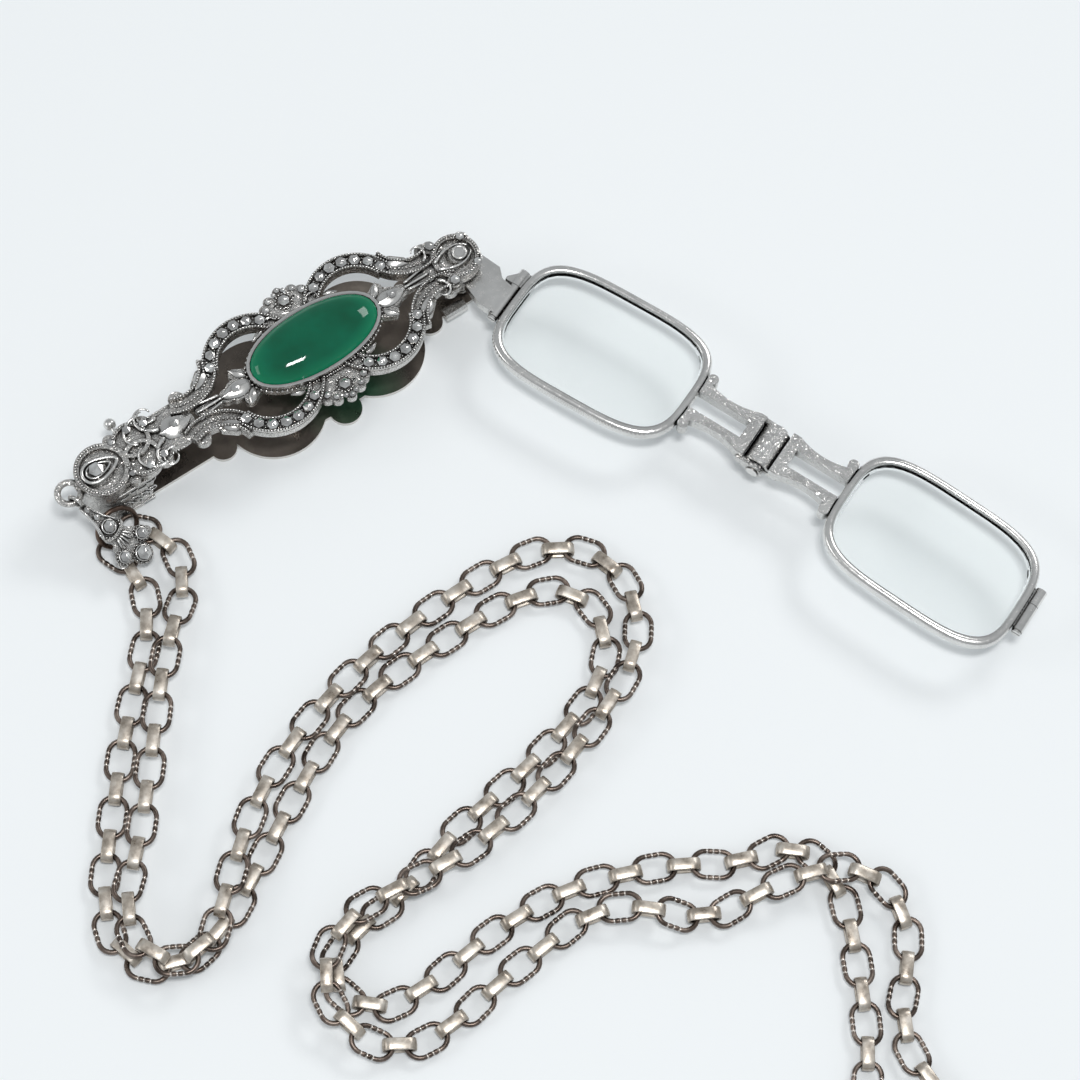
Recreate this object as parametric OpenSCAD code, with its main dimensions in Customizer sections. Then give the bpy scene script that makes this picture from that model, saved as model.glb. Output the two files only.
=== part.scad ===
// Folding lorgnette: a jewelled case, two lenses on a sprung bridge, and a neck chain.
// The origin is on the pivot axis where the back plate rests on the table.
// X runs along the case from the ring end to the pivot end, and Z is up.
// The lenses are swung out and open, as they are read through.

/* [Case] */
// Distance from the middle of the cabochon to the pivot
gem_to_pivot = 30.6; // [30:0.1:31.4]
// Thickness of the back plate
plate_t = 0.9; // [0.6:0.1:1.2]
// Clear space between the back plate and the front cover
gap_h = 8.7; // [8.5:0.1:9.4]
// Thickness of the cast front cover
cover_t = 1.6; // [1.2:0.1:2.2]
// Height of the raised edges on the front cover
ridge_h = 0.7; // [0.4:0.1:1]
// Width of the raised edges on the front cover
ridge_w = 0.5; // [0.3:0.1:0.7]
// Half the width of the narrow parts of the case
waist_w = 4.2; // [4:0.1:4.6]
// Radius of the closed end cup
cup_r = 4.9; // [4.7:0.1:5.2]
// Wall of the closed end cup
cup_wall = 0.7; // [0.5:0.1:0.8]
// Radius of the fixed hanging ring, to the middle of its wire
hang_r = 2; // [1.8:0.1:2.4]
// Wire of the hanging ring
hang_wire = 1.2; // [0.9:0.1:1.3]

/* [Front cover] */
// Outer radius of the four curved bands
band_r = 9.4; // [9.2:0.1:9.8]
// Width of the four curved bands
band_w = 2.9; // [2.6:0.1:3.2]
// Distance of a band's centre from the middle of the gem, along the case
band_u = 10.5; // [10.2:0.1:10.8]
// Distance of a band's centre from the case's long axis
band_v = 2.4; // [2.2:0.1:2.6]
// Diameter of the stones in the bands
stone_d = 1.8; // [1.4:0.1:2]

/* [Cabochon] */
// Length of the cabochon
gem_len = 25.2; // [24:0.1:26]
// Width of the cabochon
gem_w = 11.9; // [11:0.1:12.4]
// Height of the dome above its edge
gem_dome = 3.2; // [2.4:0.1:4]
// Height of the setting above the cover's underside
bezel_h = 3.1; // [2.6:0.1:3.6]
// Wall of the setting
bezel_wall = 0.6; // [0.4:0.1:0.8]

/* [Lenses] */
// Half the length of a lens opening
lens_a = 17; // [16:0.1:17.2]
// Half the height of a lens opening
lens_b = 10.8; // [10:0.1:11.2]
// How square the lens outline is
lens_n = 3.7; // [3:0.1:4.2]
// Lean of the lens outline
lens_lean = 0.04; // [0:0.01:0.06]
// Width of the rim
rim_w = 1.5; // [1.2:0.1:1.6]
// Height of the rim
rim_h = 2.4; // [2:0.1:2.5]
// Thickness of the glass at its edge
glass_t = 1.5; // [1.2:0.1:1.8]
// Distance from the pivot to the middle of the first lens
lens_x = 30.3; // [30.2:0.1:31]
// Height of the middle of the rims above the table
lens_z = 7.8; // [7.7:0.1:7.9]

/* [Bridge] */
// Distance from the middle of a lens to the folding line of the bridge
lens_to_fold = 33.7; // [33.2:0.1:34]
// Drop of the folding line below the middle of the rims
fold_drop = 1.8; // [1.7:0.1:2]
// Offset of the bridge across the lenses
bridge_y = 0.9; // [0.6:0.1:1]
// Half the length of the hinge barrel
barrel_half = 4.7; // [4.5:0.1:4.8]
// Radius of the hinge barrel
barrel_r = 1.65; // [1.5:0.05:1.7]
// Radius of the hinge pin
hinge_pin_r = 0.7; // [0.6:0.05:0.8]
// Radius of the spring cover
box_r = 2.6; // [2.5:0.05:2.7]

/* [Pivot] */
// Angle of the open lenses from the case's long axis
open_angle = 68.4; // [66:0.1:72]
// Radius of the pivot pin
pivot_r = 0.95; // [0.8:0.05:1]
// Radius of the bracket's hub
hub_r = 3.4; // [3:0.1:3.6]
// Thickness of the bracket's plate
bracket_t = 2; // [1.6:0.1:2.2]
// Radius of the closing tubes on the rims
tube_r = 1; // [0.9:0.05:1.1]
// Radius of the closing screws
screw_r = 0.45; // [0.4:0.05:0.5]

/* [Catch] */
// Radius of the catch's ball
knob_r = 1.1; // [0.9:0.1:1.2]
// Radius of the catch's stem
stem_r = 0.45; // [0.4:0.05:0.5]
// Travel of the catch when it is pressed
catch_travel = 1; // [0.8:0.1:1.2]

/* [Bail] */
// Length of the bail below its hook
bail_len = 16.3; // [15.8:0.1:16.6]
// Radius of the bail's hook, to the middle of its wire
hook_r = 1.3; // [1.2:0.05:1.4]
// Wire of the hook
hook_wire = 0.7; // [0.6:0.05:0.75]
// Radius of the loop behind the bail, to the middle of its wire
loop_r = 1.5; // [1.45:0.05:1.6]
// Wire of the loop behind the bail
loop_wire = 0.6; // [0.5:0.05:0.7]
// Thickness of the bail's cast body
bail_t = 0.6; // [0.5:0.1:0.7]

/* [Chain] */
// Length of a long link
link_len = 7.9; // [7.7:0.1:8]
// Width of a long link
link_w = 5.4; // [5:0.1:5.5]
// Wire of a long link
link_wire = 1; // [0.8:0.05:1]
// Length of a band link
band_len = 5.8; // [5.7:0.1:6]
// Height of a band link
band_h = 2.8; // [2.7:0.1:3]
// Width of a band link
band_wide = 2; // [1.6:0.1:2.1]
// Wall of a band link
band_wall = 0.45; // [0.35:0.05:0.5]
// Distance from one band link to the next
pitch = 9.9; // [9.8:0.05:10]
// Radius of the ring that gathers the chain, to the middle of its wire
chain_r = 3.75; // [3.6:0.05:3.9]
// Wire of the gathering ring
chain_wire = 0.9; // [0.8:0.05:0.95]

/* [Fits] */
// Running gap on a radius
run_gap = 0.05; // [0.03:0.01:0.08]
// Gap beside a fixed piece
seat_gap = 0.03; // [0.02:0.01:0.05]

/* [Hidden] */
$fn = 48;
z_cov = plate_t + gap_h;
z_face = z_cov + cover_t;
z_edge = z_face + ridge_h;
fold_x = lens_x + lens_to_fold;
fold_z = lens_z - fold_drop;
rim_out = lens_a + rim_w;
tube_x = lens_x - rim_out - tube_r - seat_gap;
tube_x2 = 2 * fold_x - tube_x;
band_in = band_r - band_w;
arm_c = [24, 9.3];
arm_out = 8.3;
arm_in = 5.1;
cup_u = -43.2;
ring_u = cup_u - cup_r - hang_r + 0.2;
ring_z = z_cov + 0.7;
tab = 1.45;
SIDES = 72;
// Routes of the chain's two strands from the ring, seen from above: x, y, lift off the table
LEFT = [
  [-80.3, -6.2, 0.3], [-76.9, -15.5, 0], [-80, -24, 0], [-93.5, -37.5, 0], [-107, -53.5, 0],
  [-114, -62.5, 0], [-116, -72, 0], [-109, -78.5, 0], [-99, -76.5, 0], [-80.5, -66, 0],
  [-62, -57, 0], [-41.5, -55.3, 0], [-23, -56.3, 0], [-15.8, -61, 0], [-16, -69, 0],
  [-22, -76, 0], [-37, -81, 0], [-57, -84, 0], [-67, -86, 0], [-74, -90, 0], [-82, -88.5, 0],
  [-90, -92, 0], [-91, -99, 0], [-83, -104, 0], [-71, -102.5, 0], [-50.5, -102.5, 0],
  [-33, -109, 0], [-25, -113.5, 0], [-19.5, -118.5, 0], [-12, -117.5, 0], [-10, -124, 0],
  [-12.5, -132, 0], [-20.5, -147.5, 0], [-26, -156, 0], [-34, -165, 0], [-33, -176, 0]];
RIGHT = [
  [-76.3, -5.3, 0.3], [-69.3, -12.3, 0], [-70, -20.5, 0], [-76, -26, 2.1], [-82.5, -32, 2.1],
  [-95.5, -48, 2.1], [-108, -62.5, 2.8], [-115, -68.5, 3.3], [-108, -81, 3.3],
  [-98, -74, 3.2], [-81.5, -60.5, 2.1], [-62, -53, 2.1], [-42.5, -49.5, 0],
  [-21.5, -49.8, 0], [-11, -54, 0], [-8.3, -64, 0.3], [-13, -74, 2.1], [-21, -79.5, 2.1],
  [-40, -86, 2.1], [-60.5, -89, 3], [-81, -86.5, 3.2], [-90, -90.5, 3.2], [-93, -99, 3.2],
  [-90, -107.5, 0.6], [-82, -112.5, 0], [-73, -110, 0], [-53, -108.5, 0], [-44, -108.5, 2.1],
  [-38.5, -114.5, 2.1], [-33, -121, 0], [-25, -121.5, 2.1], [-17, -123, 3.2],
  [-8, -126, 3.2], [-3.5, -133.5, 0], [-7, -142.5, 0], [-20.5, -156, 0], [-18, -165, 0],
  [-19, -175, 0], [-27, -177, 0]];
// Pieces of the chain share one node in runs of these many links
LONG_RUN = 16;
BAND_RUN = 23;

// Shapes shared by several pieces

// A slice of a flat ring, from one angle to another
module sector(r_in, r_out, a0, a1) {
  n = 8;
  far = 1.6 * r_out;
  intersection() {
    difference() {
      circle(r_out);
      circle(r_in);
    }
    polygon(concat([[0, 0]], [for (i = [0:n]) let (a = a0 + (a1 - a0) * i / n) far * [cos(a), sin(a)]]));
  }
}

// A straight slot with round ends, lying along X
module slot2d(len, w) {
  square([len - w, w], center = true);
  for (m = [-1, 1]) translate([m * (len - w) / 2, 0]) circle(w / 2);
}

// Four copies, one in each quarter
module quarters() {
  for (mx = [0, 1], my = [0, 1]) mirror([mx, 0, 0]) mirror([0, my, 0]) children();
}

// Case pieces are drawn about the middle of the gem
module on_case() {
  translate([-gem_to_pivot, 0, 0]) children();
}

// Lens pieces are drawn along X from the pivot
module on_lenses() {
  rotate([0, 0, -open_angle]) children();
}

// Radius of the lens outline in one direction, grown by o
function lens_r(t, o) = pow(pow(abs(cos(t)) / (lens_a + o), lens_n) +
  pow(abs(sin(t)) / (lens_b + o), lens_n), -1 / lens_n);

// One point of the lens outline, with its lean
function lens_pt(t, o, s) = let (r = lens_r(t, o)) [r * cos(t), r * sin(t) + s * lens_lean * r * cos(t)];

function lens_ring(o, s) = [for (i = [0:SIDES - 1]) lens_pt(360 * i / SIDES, o, s)];

// A closed solid through rings of equal size, as a loop that meets itself
module loop_solid(rings) {
  n = len(rings);
  m = len(rings[0]);
  polyhedron([for (r = rings) each r],
    [for (i = [0:n - 1], j = [0:m - 1]) let (i2 = (i + 1) % n, j2 = (j + 1) % m)
      each [[i * m + j, i * m + j2, i2 * m + j2], [i * m + j, i2 * m + j2, i2 * m + j]]]);
}

// A closed solid through rings of equal size, with flat ends
module stack_solid(rings) {
  n = len(rings);
  m = len(rings[0]);
  polyhedron([for (r = rings) each r], concat(
    [for (i = [0:n - 2], j = [0:m - 1]) let (j2 = (j + 1) % m)
      each [[i * m + j, (i + 1) * m + j2, i * m + j2], [i * m + j, (i + 1) * m + j, (i + 1) * m + j2]]],
    [[for (j = [0:m - 1]) j]], [[for (j = [m - 1:-1:0]) (n - 1) * m + j]]));
}

// A round coil of wire about Z
module coil(r, wire, z0, z1, turns) {
  steps = round(10 * turns);
  stack_solid([for (i = [0:steps]) let (a = 360 * turns * i / steps, z = z0 + (z1 - z0) * i / steps)
    [for (j = [5:-1:0]) let (b = 60 * j, q = r + wire / 2 * cos(b))
      [q * cos(a), q * sin(a), z + wire / 2 * sin(b)]]]);
}

// The case

module case_outline() {
  translate([cup_u, -waist_w]) square([29.8 - cup_u, 2 * waist_w]);
  quarters() {
    translate([band_u, band_v + 0.2]) circle(band_r - 0.2);
    translate([21.8, 3.7]) circle(2.4);
  }
  for (m = [-1, 1]) translate([0, m * 9.4]) circle(3);
  square([11, 18.6], center = true);
  translate([cup_u, 0]) circle(cup_r);
  translate([cup_u, -cup_r]) square([4.4, 2 * cup_r]);
  translate([29.8, 0]) circle(4.4);
}

// A full outline of many short sides, a little squarer than an ellipse
module ellipse(a, b) {
  polygon([for (i = [0:63])
    let (t = 5.625 * i, r = pow(pow(abs(cos(t)) / a, 2.1) + pow(abs(sin(t)) / b, 2.1), -1 / 2.1))
    [r * cos(t), r * sin(t)]]);
}

module back_plate() {
  color("dimgray") difference() {
    on_case() linear_extrude(plate_t) case_outline();
    translate([0, 0, -1]) cylinder(r = pivot_r + seat_gap, h = plate_t + 2);
  }
}

// The curved band in one quarter: the lobe, then the arm that sweeps back to the axis
module band_2d(g_out, g_in, t = 0) {
  translate([band_u, band_v]) sector(band_r - band_w + g_in, band_r - g_out, 20 + t, 158 - t);
  translate(arm_c) sector(arm_in + g_out, arm_out - g_in, 190 + t, 300 - t);
}

module cover_ornament_2d() {
  quarters() {
    band_2d(0, 0);
    // leaf on the shoulder of each arm
    translate([20.6, 5.2]) rotate(-40) scale(1) slot2d(4.2, 2);
    translate([25.6, 4.2]) circle(1.5);
  }
  // flowers between the bands, above and below the gem
  for (m = [-1, 1]) {
    translate([0, m * 9.6]) circle(1.7);
    for (s = [-1, 1]) {
      translate([s * 3.6, m * 9.6]) circle(1.35);
      translate([s * 2.3, m * 10.8]) circle(1.1);
      translate([s * 2.2, m * 8]) circle(1.5);
    }
    translate([0, m * 11.6]) circle(1);
    translate([-1.1, m * 7.6 - 1.9]) square([2.2, 3.8]);
  }
  // leaf pieces that carry the setting at both ends
  for (s = [-1, 1]) {
    translate([s * (gem_len / 2 + 19) / 2, 0]) slot2d(19.6 - gem_len / 2, 2.6);
    translate([s * 16, 0]) circle(2);
    translate([s * 14, -2.2]) rotate(s * -30) slot2d(4, 2);
    translate([s * 14, 2.2]) rotate(s * 30) slot2d(4, 2);
    translate([s * 21, 0]) square([6, 1.6], center = true);
  }
}

module cover_end_2d() {
  // toward the closed end: arms, leaf, two pairs of scrolls and the round end
  translate([-33, 0]) square([16, 6.4], center = true);
  translate([-28.5, 0]) circle(3.6);
  for (m = [-1, 1]) {
    translate([-36.2, m * 1.9]) circle(3.4);
    translate([-33, m * 3.7]) circle(1.5);
    translate([-39.3, m * 4]) circle(1.2);
  }
  translate([cup_u, 0]) circle(cup_r);
  translate([cup_u, -4.4]) square([5, 8.8]);
}

module cover_pivot_2d() {
  translate([29.8, 0]) circle(4.4);
  translate([27, 0]) square([7, 5], center = true);
  for (m = [-1, 1]) translate([26.8, m * 4]) circle(1.3);
}

// Walls that join the front cover to the back plate round the closed end
module cup_walls() {
  difference() {
    union() {
      intersection() {
        translate([cup_u, 0]) circle(cup_r);
        translate([cup_u - cup_r - 1, -cup_r]) square([cup_r + 1, 2 * cup_r]);
      }
      translate([cup_u, -cup_r]) square([7.2, 2 * cup_r]);
      translate([cup_u, 0]) square([17.2, cup_r]);
    }
    translate([cup_u, 0]) circle(cup_r - cup_wall);
    translate([cup_u, cup_wall - cup_r]) square([30, 2 * (cup_r - cup_wall)]);
  }
}

module front_cover() {
  color("silver") difference() {
    on_case() {
      translate([0, 0, z_cov]) linear_extrude(cover_t) {
        cover_ornament_2d();
        cover_end_2d();
        cover_pivot_2d();
        difference() {
          ellipse(gem_len / 2 + bezel_wall - 0.05, gem_w / 2 + bezel_wall - 0.05);
          ellipse(gem_len / 2 - 1.4, gem_w / 2 - 1.4);
        }
      }
      // raised edges of the bands
      translate([0, 0, z_face - 0.1]) linear_extrude(ridge_h + 0.1) quarters() difference() {
        band_2d(0.04, 0.04, 0.5);
        band_2d(ridge_w, ridge_w);
        ellipse(gem_len / 2 + bezel_wall + 0.15, gem_w / 2 + bezel_wall + 0.15);
      }
      // raised rims of the round end, the scrolls and the pivot medallion
      translate([cup_u, 0, z_face - 0.1]) linear_extrude(ridge_h + 0.1) difference() {
        circle(cup_r - 0.04);
        circle(cup_r - 1);
        for (m = [-1, 1]) translate([4, m * 3.4]) circle(0.72);
      }
      for (m = [-1, 1]) translate([-36.2, m * 1.9, z_face - 0.1]) linear_extrude(ridge_h + 0.1) difference() {
        circle(3.36);
        circle(2.7);
        // the outer stones break the rim
        translate([-3, m * 1.5]) circle(0.72);
        translate([3.3, m * 1.3]) circle(0.92);
      }
      translate([29.8, 0, z_face - 0.1]) linear_extrude(ridge_h + 0.1) difference() {
        circle(4.36);
        circle(3.5);
      }
      translate([30.4, 0, z_face - 0.1]) cylinder(r1 = 2.4, r2 = 1.8, h = ridge_h + 0.2);
      translate([-28.5, 0, z_face - 0.1]) cylinder(r1 = 2.2, r2 = 1.4, h = ridge_h);
      translate([cup_u - 0.9, 0, z_face - 0.1]) cylinder(r1 = 2.6, r2 = 1.8, h = ridge_h + 0.2);
      // the shells that hold the outer stones of the scrolls
      for (m = [-1, 1]) translate([26.8, m * 4, z_face - 0.1]) cylinder(r = 1.2, h = ridge_h);
      translate([0, 0, plate_t]) linear_extrude(gap_h + 0.1) cup_walls();
      // fixed hanging ring and the stub that carries it
      translate([ring_u, 0, ring_z]) rotate_extrude() translate([hang_r, 0]) circle(hang_wire / 2);
      translate([cup_u - cup_r + 0.2, 0, ring_z]) rotate([0, -90, 0]) cylinder(r = 0.55, h = 0.75);
    }
    translate([0, 0, z_cov - 1]) cylinder(r = pivot_r + seat_gap, h = 6);
    // slanted mouth of the cup on the open side
    on_case() translate([-36.05, -cup_r - 1, z_cov]) rotate([0, 7, 0]) translate([0, 0, -12])
      cube([6, 3, 12]);
    // hole for the stem of the catch
    catch_axis() translate([0, 0, -1]) cylinder(r = stem_r + run_gap, h = 3);
    // pierced windows in the open side of the cup
    on_case() for (k = [0:2]) translate([-42.4 + 2.1 * k, -cup_r - 1, plate_t + 2.6 + 0.7 * k])
      rotate([-90, 0, 0]) cylinder(r = 0.55, h = 2.5);
  }
}

// Line of the catch: it starts on the wall's inside and points out
module catch_axis() {
  translate([-37 - gem_to_pivot, cup_r - cup_wall, lens_z]) rotate([-90, 0, 0]) children();
}

module gem_setting() {
  color("gainsboro") on_case() translate([0, 0, z_face + seat_gap]) difference() {
    linear_extrude(bezel_h - cover_t) ellipse(gem_len / 2 + bezel_wall, gem_w / 2 + bezel_wall);
    translate([0, 0, 0.5]) linear_extrude(bezel_h) ellipse(gem_len / 2 + seat_gap, gem_w / 2 + seat_gap);
    translate([0, 0, -1]) linear_extrude(bezel_h) ellipse(gem_len / 2 - 1.4, gem_w / 2 - 1.4);
  }
}

// Height and size of the cabochon's rings, from its seat to the top of the dome
module cabochon() {
  a = gem_len / 2;
  b = gem_w / 2;
  seat = z_face + 0.5 + 2 * seat_gap;
  girdle = z_cov + bezel_h - 0.35;
  color("seagreen") on_case() stack_solid(concat(
    [for (j = [0:1]) [for (i = [0:35]) gem_pt(10 * i, 0.985 + 0.01 * j, [seat, girdle][j])]],
    [for (k = [1:6]) let (f = 90 * k / 6.6)
      [for (i = [0:35]) gem_pt(10 * i, cos(f) * 0.97, girdle + gem_dome * sin(f))]]));
  function gem_pt(t, s, z) = let (r = pow(pow(abs(cos(t)) / a, 2.1) + pow(abs(sin(t)) / b, 2.1), -1 / 2.1))
    [s * r * cos(t), s * r * sin(t), z];
}

// A round stone with a sloping top
module stone(d) {
  cylinder(d = d, h = 0.25);
  translate([0, 0, 0.25]) cylinder(d1 = d, d2 = 0.4 * d, h = 0.3 * d);
}

module cover_stones() {
  color("slategray") on_case() {
    // seven stones along each curved band
    quarters() for (k = [0:6]) translate([band_u, band_v, z_face + seat_gap])
      rotate(128 - 17.2 * k) translate([band_r - band_w / 2, 0, 0]) stone(stone_d);
    for (s = [-1, 1]) {
      translate([0, s * 9.6, z_face + seat_gap]) stone(1.9);
      translate([s * 16.2, 0, z_face + seat_gap]) stone(1.8);
      translate([s * 3.7, 9.7, z_face + seat_gap]) stone(1.3);
      translate([s * 3.7, -9.7, z_face + seat_gap]) stone(1.3);
      translate([26.8, s * 4, z_face + ridge_h]) stone(1.7);
      translate([-39.2, s * 3.4, z_face + seat_gap]) stone(1.2);
      translate([-35.9, s * 3.1, z_face + seat_gap]) stone(1.4);
      translate([-32.9, s * 3.2, z_face + seat_gap]) stone(1.4);
    }
    translate([-28.5, 0, z_face + ridge_h]) stone(1.8);
    translate([cup_u - 0.9, 0, z_face + ridge_h + 0.15]) stone(2.4);
  }
}

module pivot_pin() {
  color("lightgray") {
    cylinder(r = pivot_r, h = z_edge + 0.5);
    translate([0, 0, z_edge + 0.13]) cylinder(r = 1.3, h = 0.4);
  }
}

module pivot_spring() {
  color("darkgray") coil(2.75, 0.6, plate_t + 0.4, lens_z - bracket_t / 2 - 0.45, 5);
}

// Bent bar on the back plate that stops the swing and anchors the spring
module stop_block() {
  color("rosybrown") translate([-6.2, -5.6, plate_t + seat_gap]) rotate([90, 0, 90])
    linear_extrude(4.4) polygon([[0, 0], [2.2, 0], [2.2, 0.9], [1.5, 1.7], [0.4, 1.7], [0, 1.2]]);
}

module catch_button() {
  color("silver") catch_axis() {
    translate([0, 0, -5]) cylinder(r = stem_r, h = 8.9 - knob_r + 0.2);
    translate([0, 0, 3.9]) sphere(knob_r);
    // collar and nose inside the cup
    translate([0, 0, -1.4]) cylinder(r = 0.9, h = 0.5);
    translate([-1.4, -0.7, -1.4]) cube([1.95, 1.4, 0.5]);
  }
}

module catch_guide() {
  color("gray") difference() {
    catch_axis() translate([-1.2, -1.4, -5.8]) cube([2.2, lens_z - plate_t + 1.4 - seat_gap, 0.8]);
    catch_axis() translate([0, 0, -7]) cylinder(r = stem_r + run_gap, h = 4);
  }
}

module catch_spring() {
  color("darkgray") catch_axis() translate([0, 0, -4.75]) coil(0.75, 0.25, 0, 2.1, 4);
}

// The swinging lenses

module rim_sweep(s) {
  h = rim_h;
  w = rim_w;
  prof = [[0.12, 0.5 * h], [w - 0.4, 0.5 * h], [w - 0.08, 0.32 * h], [w, 0], [w - 0.08, -0.32 * h],
    [w - 0.4, -0.5 * h], [0.12, -0.5 * h], [0, -0.3 * h], [0.45, 0], [0, 0.3 * h]];
  rings = [for (p = prof) lens_ring(p[0], s)];
  loop_solid([for (i = [SIDES - 1:-1:0]) [for (k = [0:len(prof) - 1]) [rings[k][i][0], rings[k][i][1], prof[k][1]]]]);
}

// Glass with a bevelled edge that sits in the rim's groove
module glass(s) {
  levels = [[-glass_t / 2, -0.25], [-0.3, -0.06], [0, 0.38], [0.3, -0.06], [glass_t / 2, -0.25]];
  stack_solid([for (q = levels) [for (p = lens_ring(q[1], s)) [p[0], p[1], q[0]]]]);
}

module at_lens(k) {
  on_lenses() translate([k == 1 ? lens_x : 2 * fold_x - lens_x, 0, lens_z]) children();
}

module lens_rim_1() {
  color("silver") at_lens(1) rim_sweep(1);
}

module lens_rim_2() {
  color("silver") at_lens(2) rim_sweep(-1);
}

module lens_1() {
  color([0.85, 0.93, 0.95, 0.4]) at_lens(1) glass(1);
}

module lens_2() {
  color([0.85, 0.93, 0.95, 0.4]) at_lens(2) glass(-1);
}

// Space that a rim takes, a little larger, for cutting what butts against it
module rim_cut(k) {
  translate([k == 1 ? lens_x : 2 * fold_x - lens_x, 0, -1]) linear_extrude(lens_z + 8)
    polygon(lens_ring(rim_w + seat_gap, k == 1 ? 1 : -1));
}

// Tube along Y between two values, with a bore
module tube_y(x, y0, y1, r, bore) {
  translate([x, y0, lens_z]) rotate([-90, 0, 0]) difference() {
    cylinder(r = r, h = y1 - y0);
    translate([0, 0, -1]) cylinder(r = bore, h = y1 - y0 + 2);
  }
}

module pivot_bracket() {
  z0 = lens_z - bracket_t / 2;
  color("silver") on_lenses() difference() {
    union() {
      translate([0, 0, z0]) linear_extrude(bracket_t)
        polygon([[0, -hub_r], [3.4, -3.2], [7.8, -4.9], [tube_x, -4.9], [tube_x, 1.2], [8.2, 1.6], [6.6, 3.2],
          [3, hub_r], [0, hub_r]]);
      translate([0, 0, z0]) cylinder(r = hub_r, h = bracket_t);
      translate([0, 0, plate_t + 0.1]) cylinder(r = 2.2, h = gap_h - 0.2);
      translate([tube_x, -5.3, lens_z]) rotate([-90, 0, 0]) cylinder(r = tube_r, h = 7.15);
    }
    cylinder(r = pivot_r + run_gap, h = z_cov + 1);
    translate([tube_x, -7, lens_z]) rotate([-90, 0, 0]) cylinder(r = screw_r + run_gap, h = 12);
    rim_cut(1);
  }
}

module closing_lug() {
  color("silver") on_lenses() difference() {
    union() {
      translate([tube_x, 1.95, lens_z]) rotate([-90, 0, 0]) cylinder(r = tube_r, h = 3.25);
      translate([0, 0, lens_z - 0.7]) linear_extrude(1.4)
        polygon([[tube_x, 2], [tube_x + 1.6, 2], [tube_x + 1.6, 5], [tube_x, 5.1], [8.6, 2.6], [8.6, 2]]);
    }
    translate([tube_x, -7, lens_z]) rotate([-90, 0, 0]) cylinder(r = screw_r + run_gap, h = 14);
    rim_cut(1);
  }
}

module closing_screw(x, y0, y1) {
  color("gray") on_lenses() translate([x, y0, lens_z]) rotate([-90, 0, 0]) difference() {
    union() {
      cylinder(r = screw_r, h = y1 - y0);
      translate([0, 0, -0.5]) cylinder(r = 0.85 * tube_r, h = 0.5 - seat_gap);
      translate([0, 0, -0.1]) cylinder(r = screw_r, h = 0.2);
    }
    translate([-2, -0.12, -0.8]) cube([4, 0.24, 0.5]);
  }
}

module closing_screw_1() {
  closing_screw(tube_x, -5.3, 5);
}

module closing_screw_2() {
  closing_screw(tube_x2, -4.3, 4.2);
}

module closing_tubes_2() {
  color("silver") on_lenses() difference() {
    union() {
      translate([tube_x2, 1.15, lens_z]) rotate([-90, 0, 0]) cylinder(r = tube_r, h = 3.25);
      translate([tube_x2, -4.3, lens_z]) rotate([-90, 0, 0]) cylinder(r = tube_r, h = 5.35);
      translate([tube_x2 - 1.2, -3.9, lens_z - 0.5]) cube([1.2, 4.8, 1]);
      translate([tube_x2 - 1.2, 1.3, lens_z - 0.5]) cube([1.2, 2.8, 1]);
    }
    translate([tube_x2, -7, lens_z]) rotate([-90, 0, 0]) cylinder(r = screw_r + run_gap, h = 14);
    rim_cut(2);
  }
}

// Plan of one bridge arm: two hollow-backed struts and a cross plate, for the first lens
module arm_2d() {
  x0 = lens_x + rim_out - 1.2;
  x1 = fold_x - box_r - 0.1;
  difference() {
    translate([x0, bridge_y - 4.3]) square([x1 - x0, 8.6]);
    for (m = [-1, 1]) translate([x0 + 7, bridge_y + m * 17]) circle(13.75);
    difference() {
      translate([x0 - 1, bridge_y - 1.75]) square([x1 - x0 - 1.1, 3.5]);
      for (m = [-1, 1]) translate([x1 - 1.8, bridge_y + m * 2.2]) circle(0.55);
    }
  }
  for (m = [-1, 1]) translate([x0 + 2, bridge_y + m * 5]) circle(1);
  for (m = [-1, 1]) translate([x0 + 1.4, bridge_y + m * 3.2]) circle(1.5);
}

module bridge_arm(k) {
  mx = k == 1 ? 0 : 1;
  gus = [[-4.2, 0.65], [-1.2, 1.1], [0, 0.9], [0, -0.5], [-1.5, -0.45], [-4.2, 0.2]];
  difference() {
    union() {
      translate([mx * 2 * fold_x, 0, lens_z - rim_h / 2]) mirror([mx, 0, 0]) linear_extrude(rim_h) arm_2d();
      translate([fold_x, bridge_y, fold_z]) mirror([mx, 0, 0]) {
        if (k == 1) for (m = [0, 1]) mirror([0, m, 0]) translate([0, barrel_half - 0.9, 0]) {
          rotate([-90, 0, 0]) cylinder(r = barrel_r, h = 0.9);
          translate([0, 0.9, 0]) rotate([90, 0, 0]) linear_extrude(0.9)
            polygon([[1 - box_r - 2, 0.2], [1 - box_r - 2, fold_drop], [-1.2, 1.5], [0, 1], [0, -0.4], [-2, -0.4]]);
        }
        if (k == 2) translate([0, 0.9 - barrel_half + run_gap, 0]) {
          rotate([-90, 0, 0]) cylinder(r = barrel_r, h = 3.8);
          translate([0, 3.8, 0]) rotate([90, 0, 0]) linear_extrude(3.8)
            polygon([[-box_r - 1.4, -0.4], [-box_r - 1.4, 0.9], [-box_r - 0.2, 0.9], [-box_r - 0.2, 0.4],
              [0, 0.4], [0, -0.4]]);
        }
      }
    }
    translate([fold_x, bridge_y - 9, fold_z]) rotate([-90, 0, 0]) cylinder(r = hinge_pin_r + run_gap, h = 18);
    rim_cut(k);
  }
}

module bridge_arm_1() {
  color("silver") on_lenses() bridge_arm(1);
}

module bridge_arm_2() {
  color("silver") on_lenses() bridge_arm(2);
}

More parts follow.
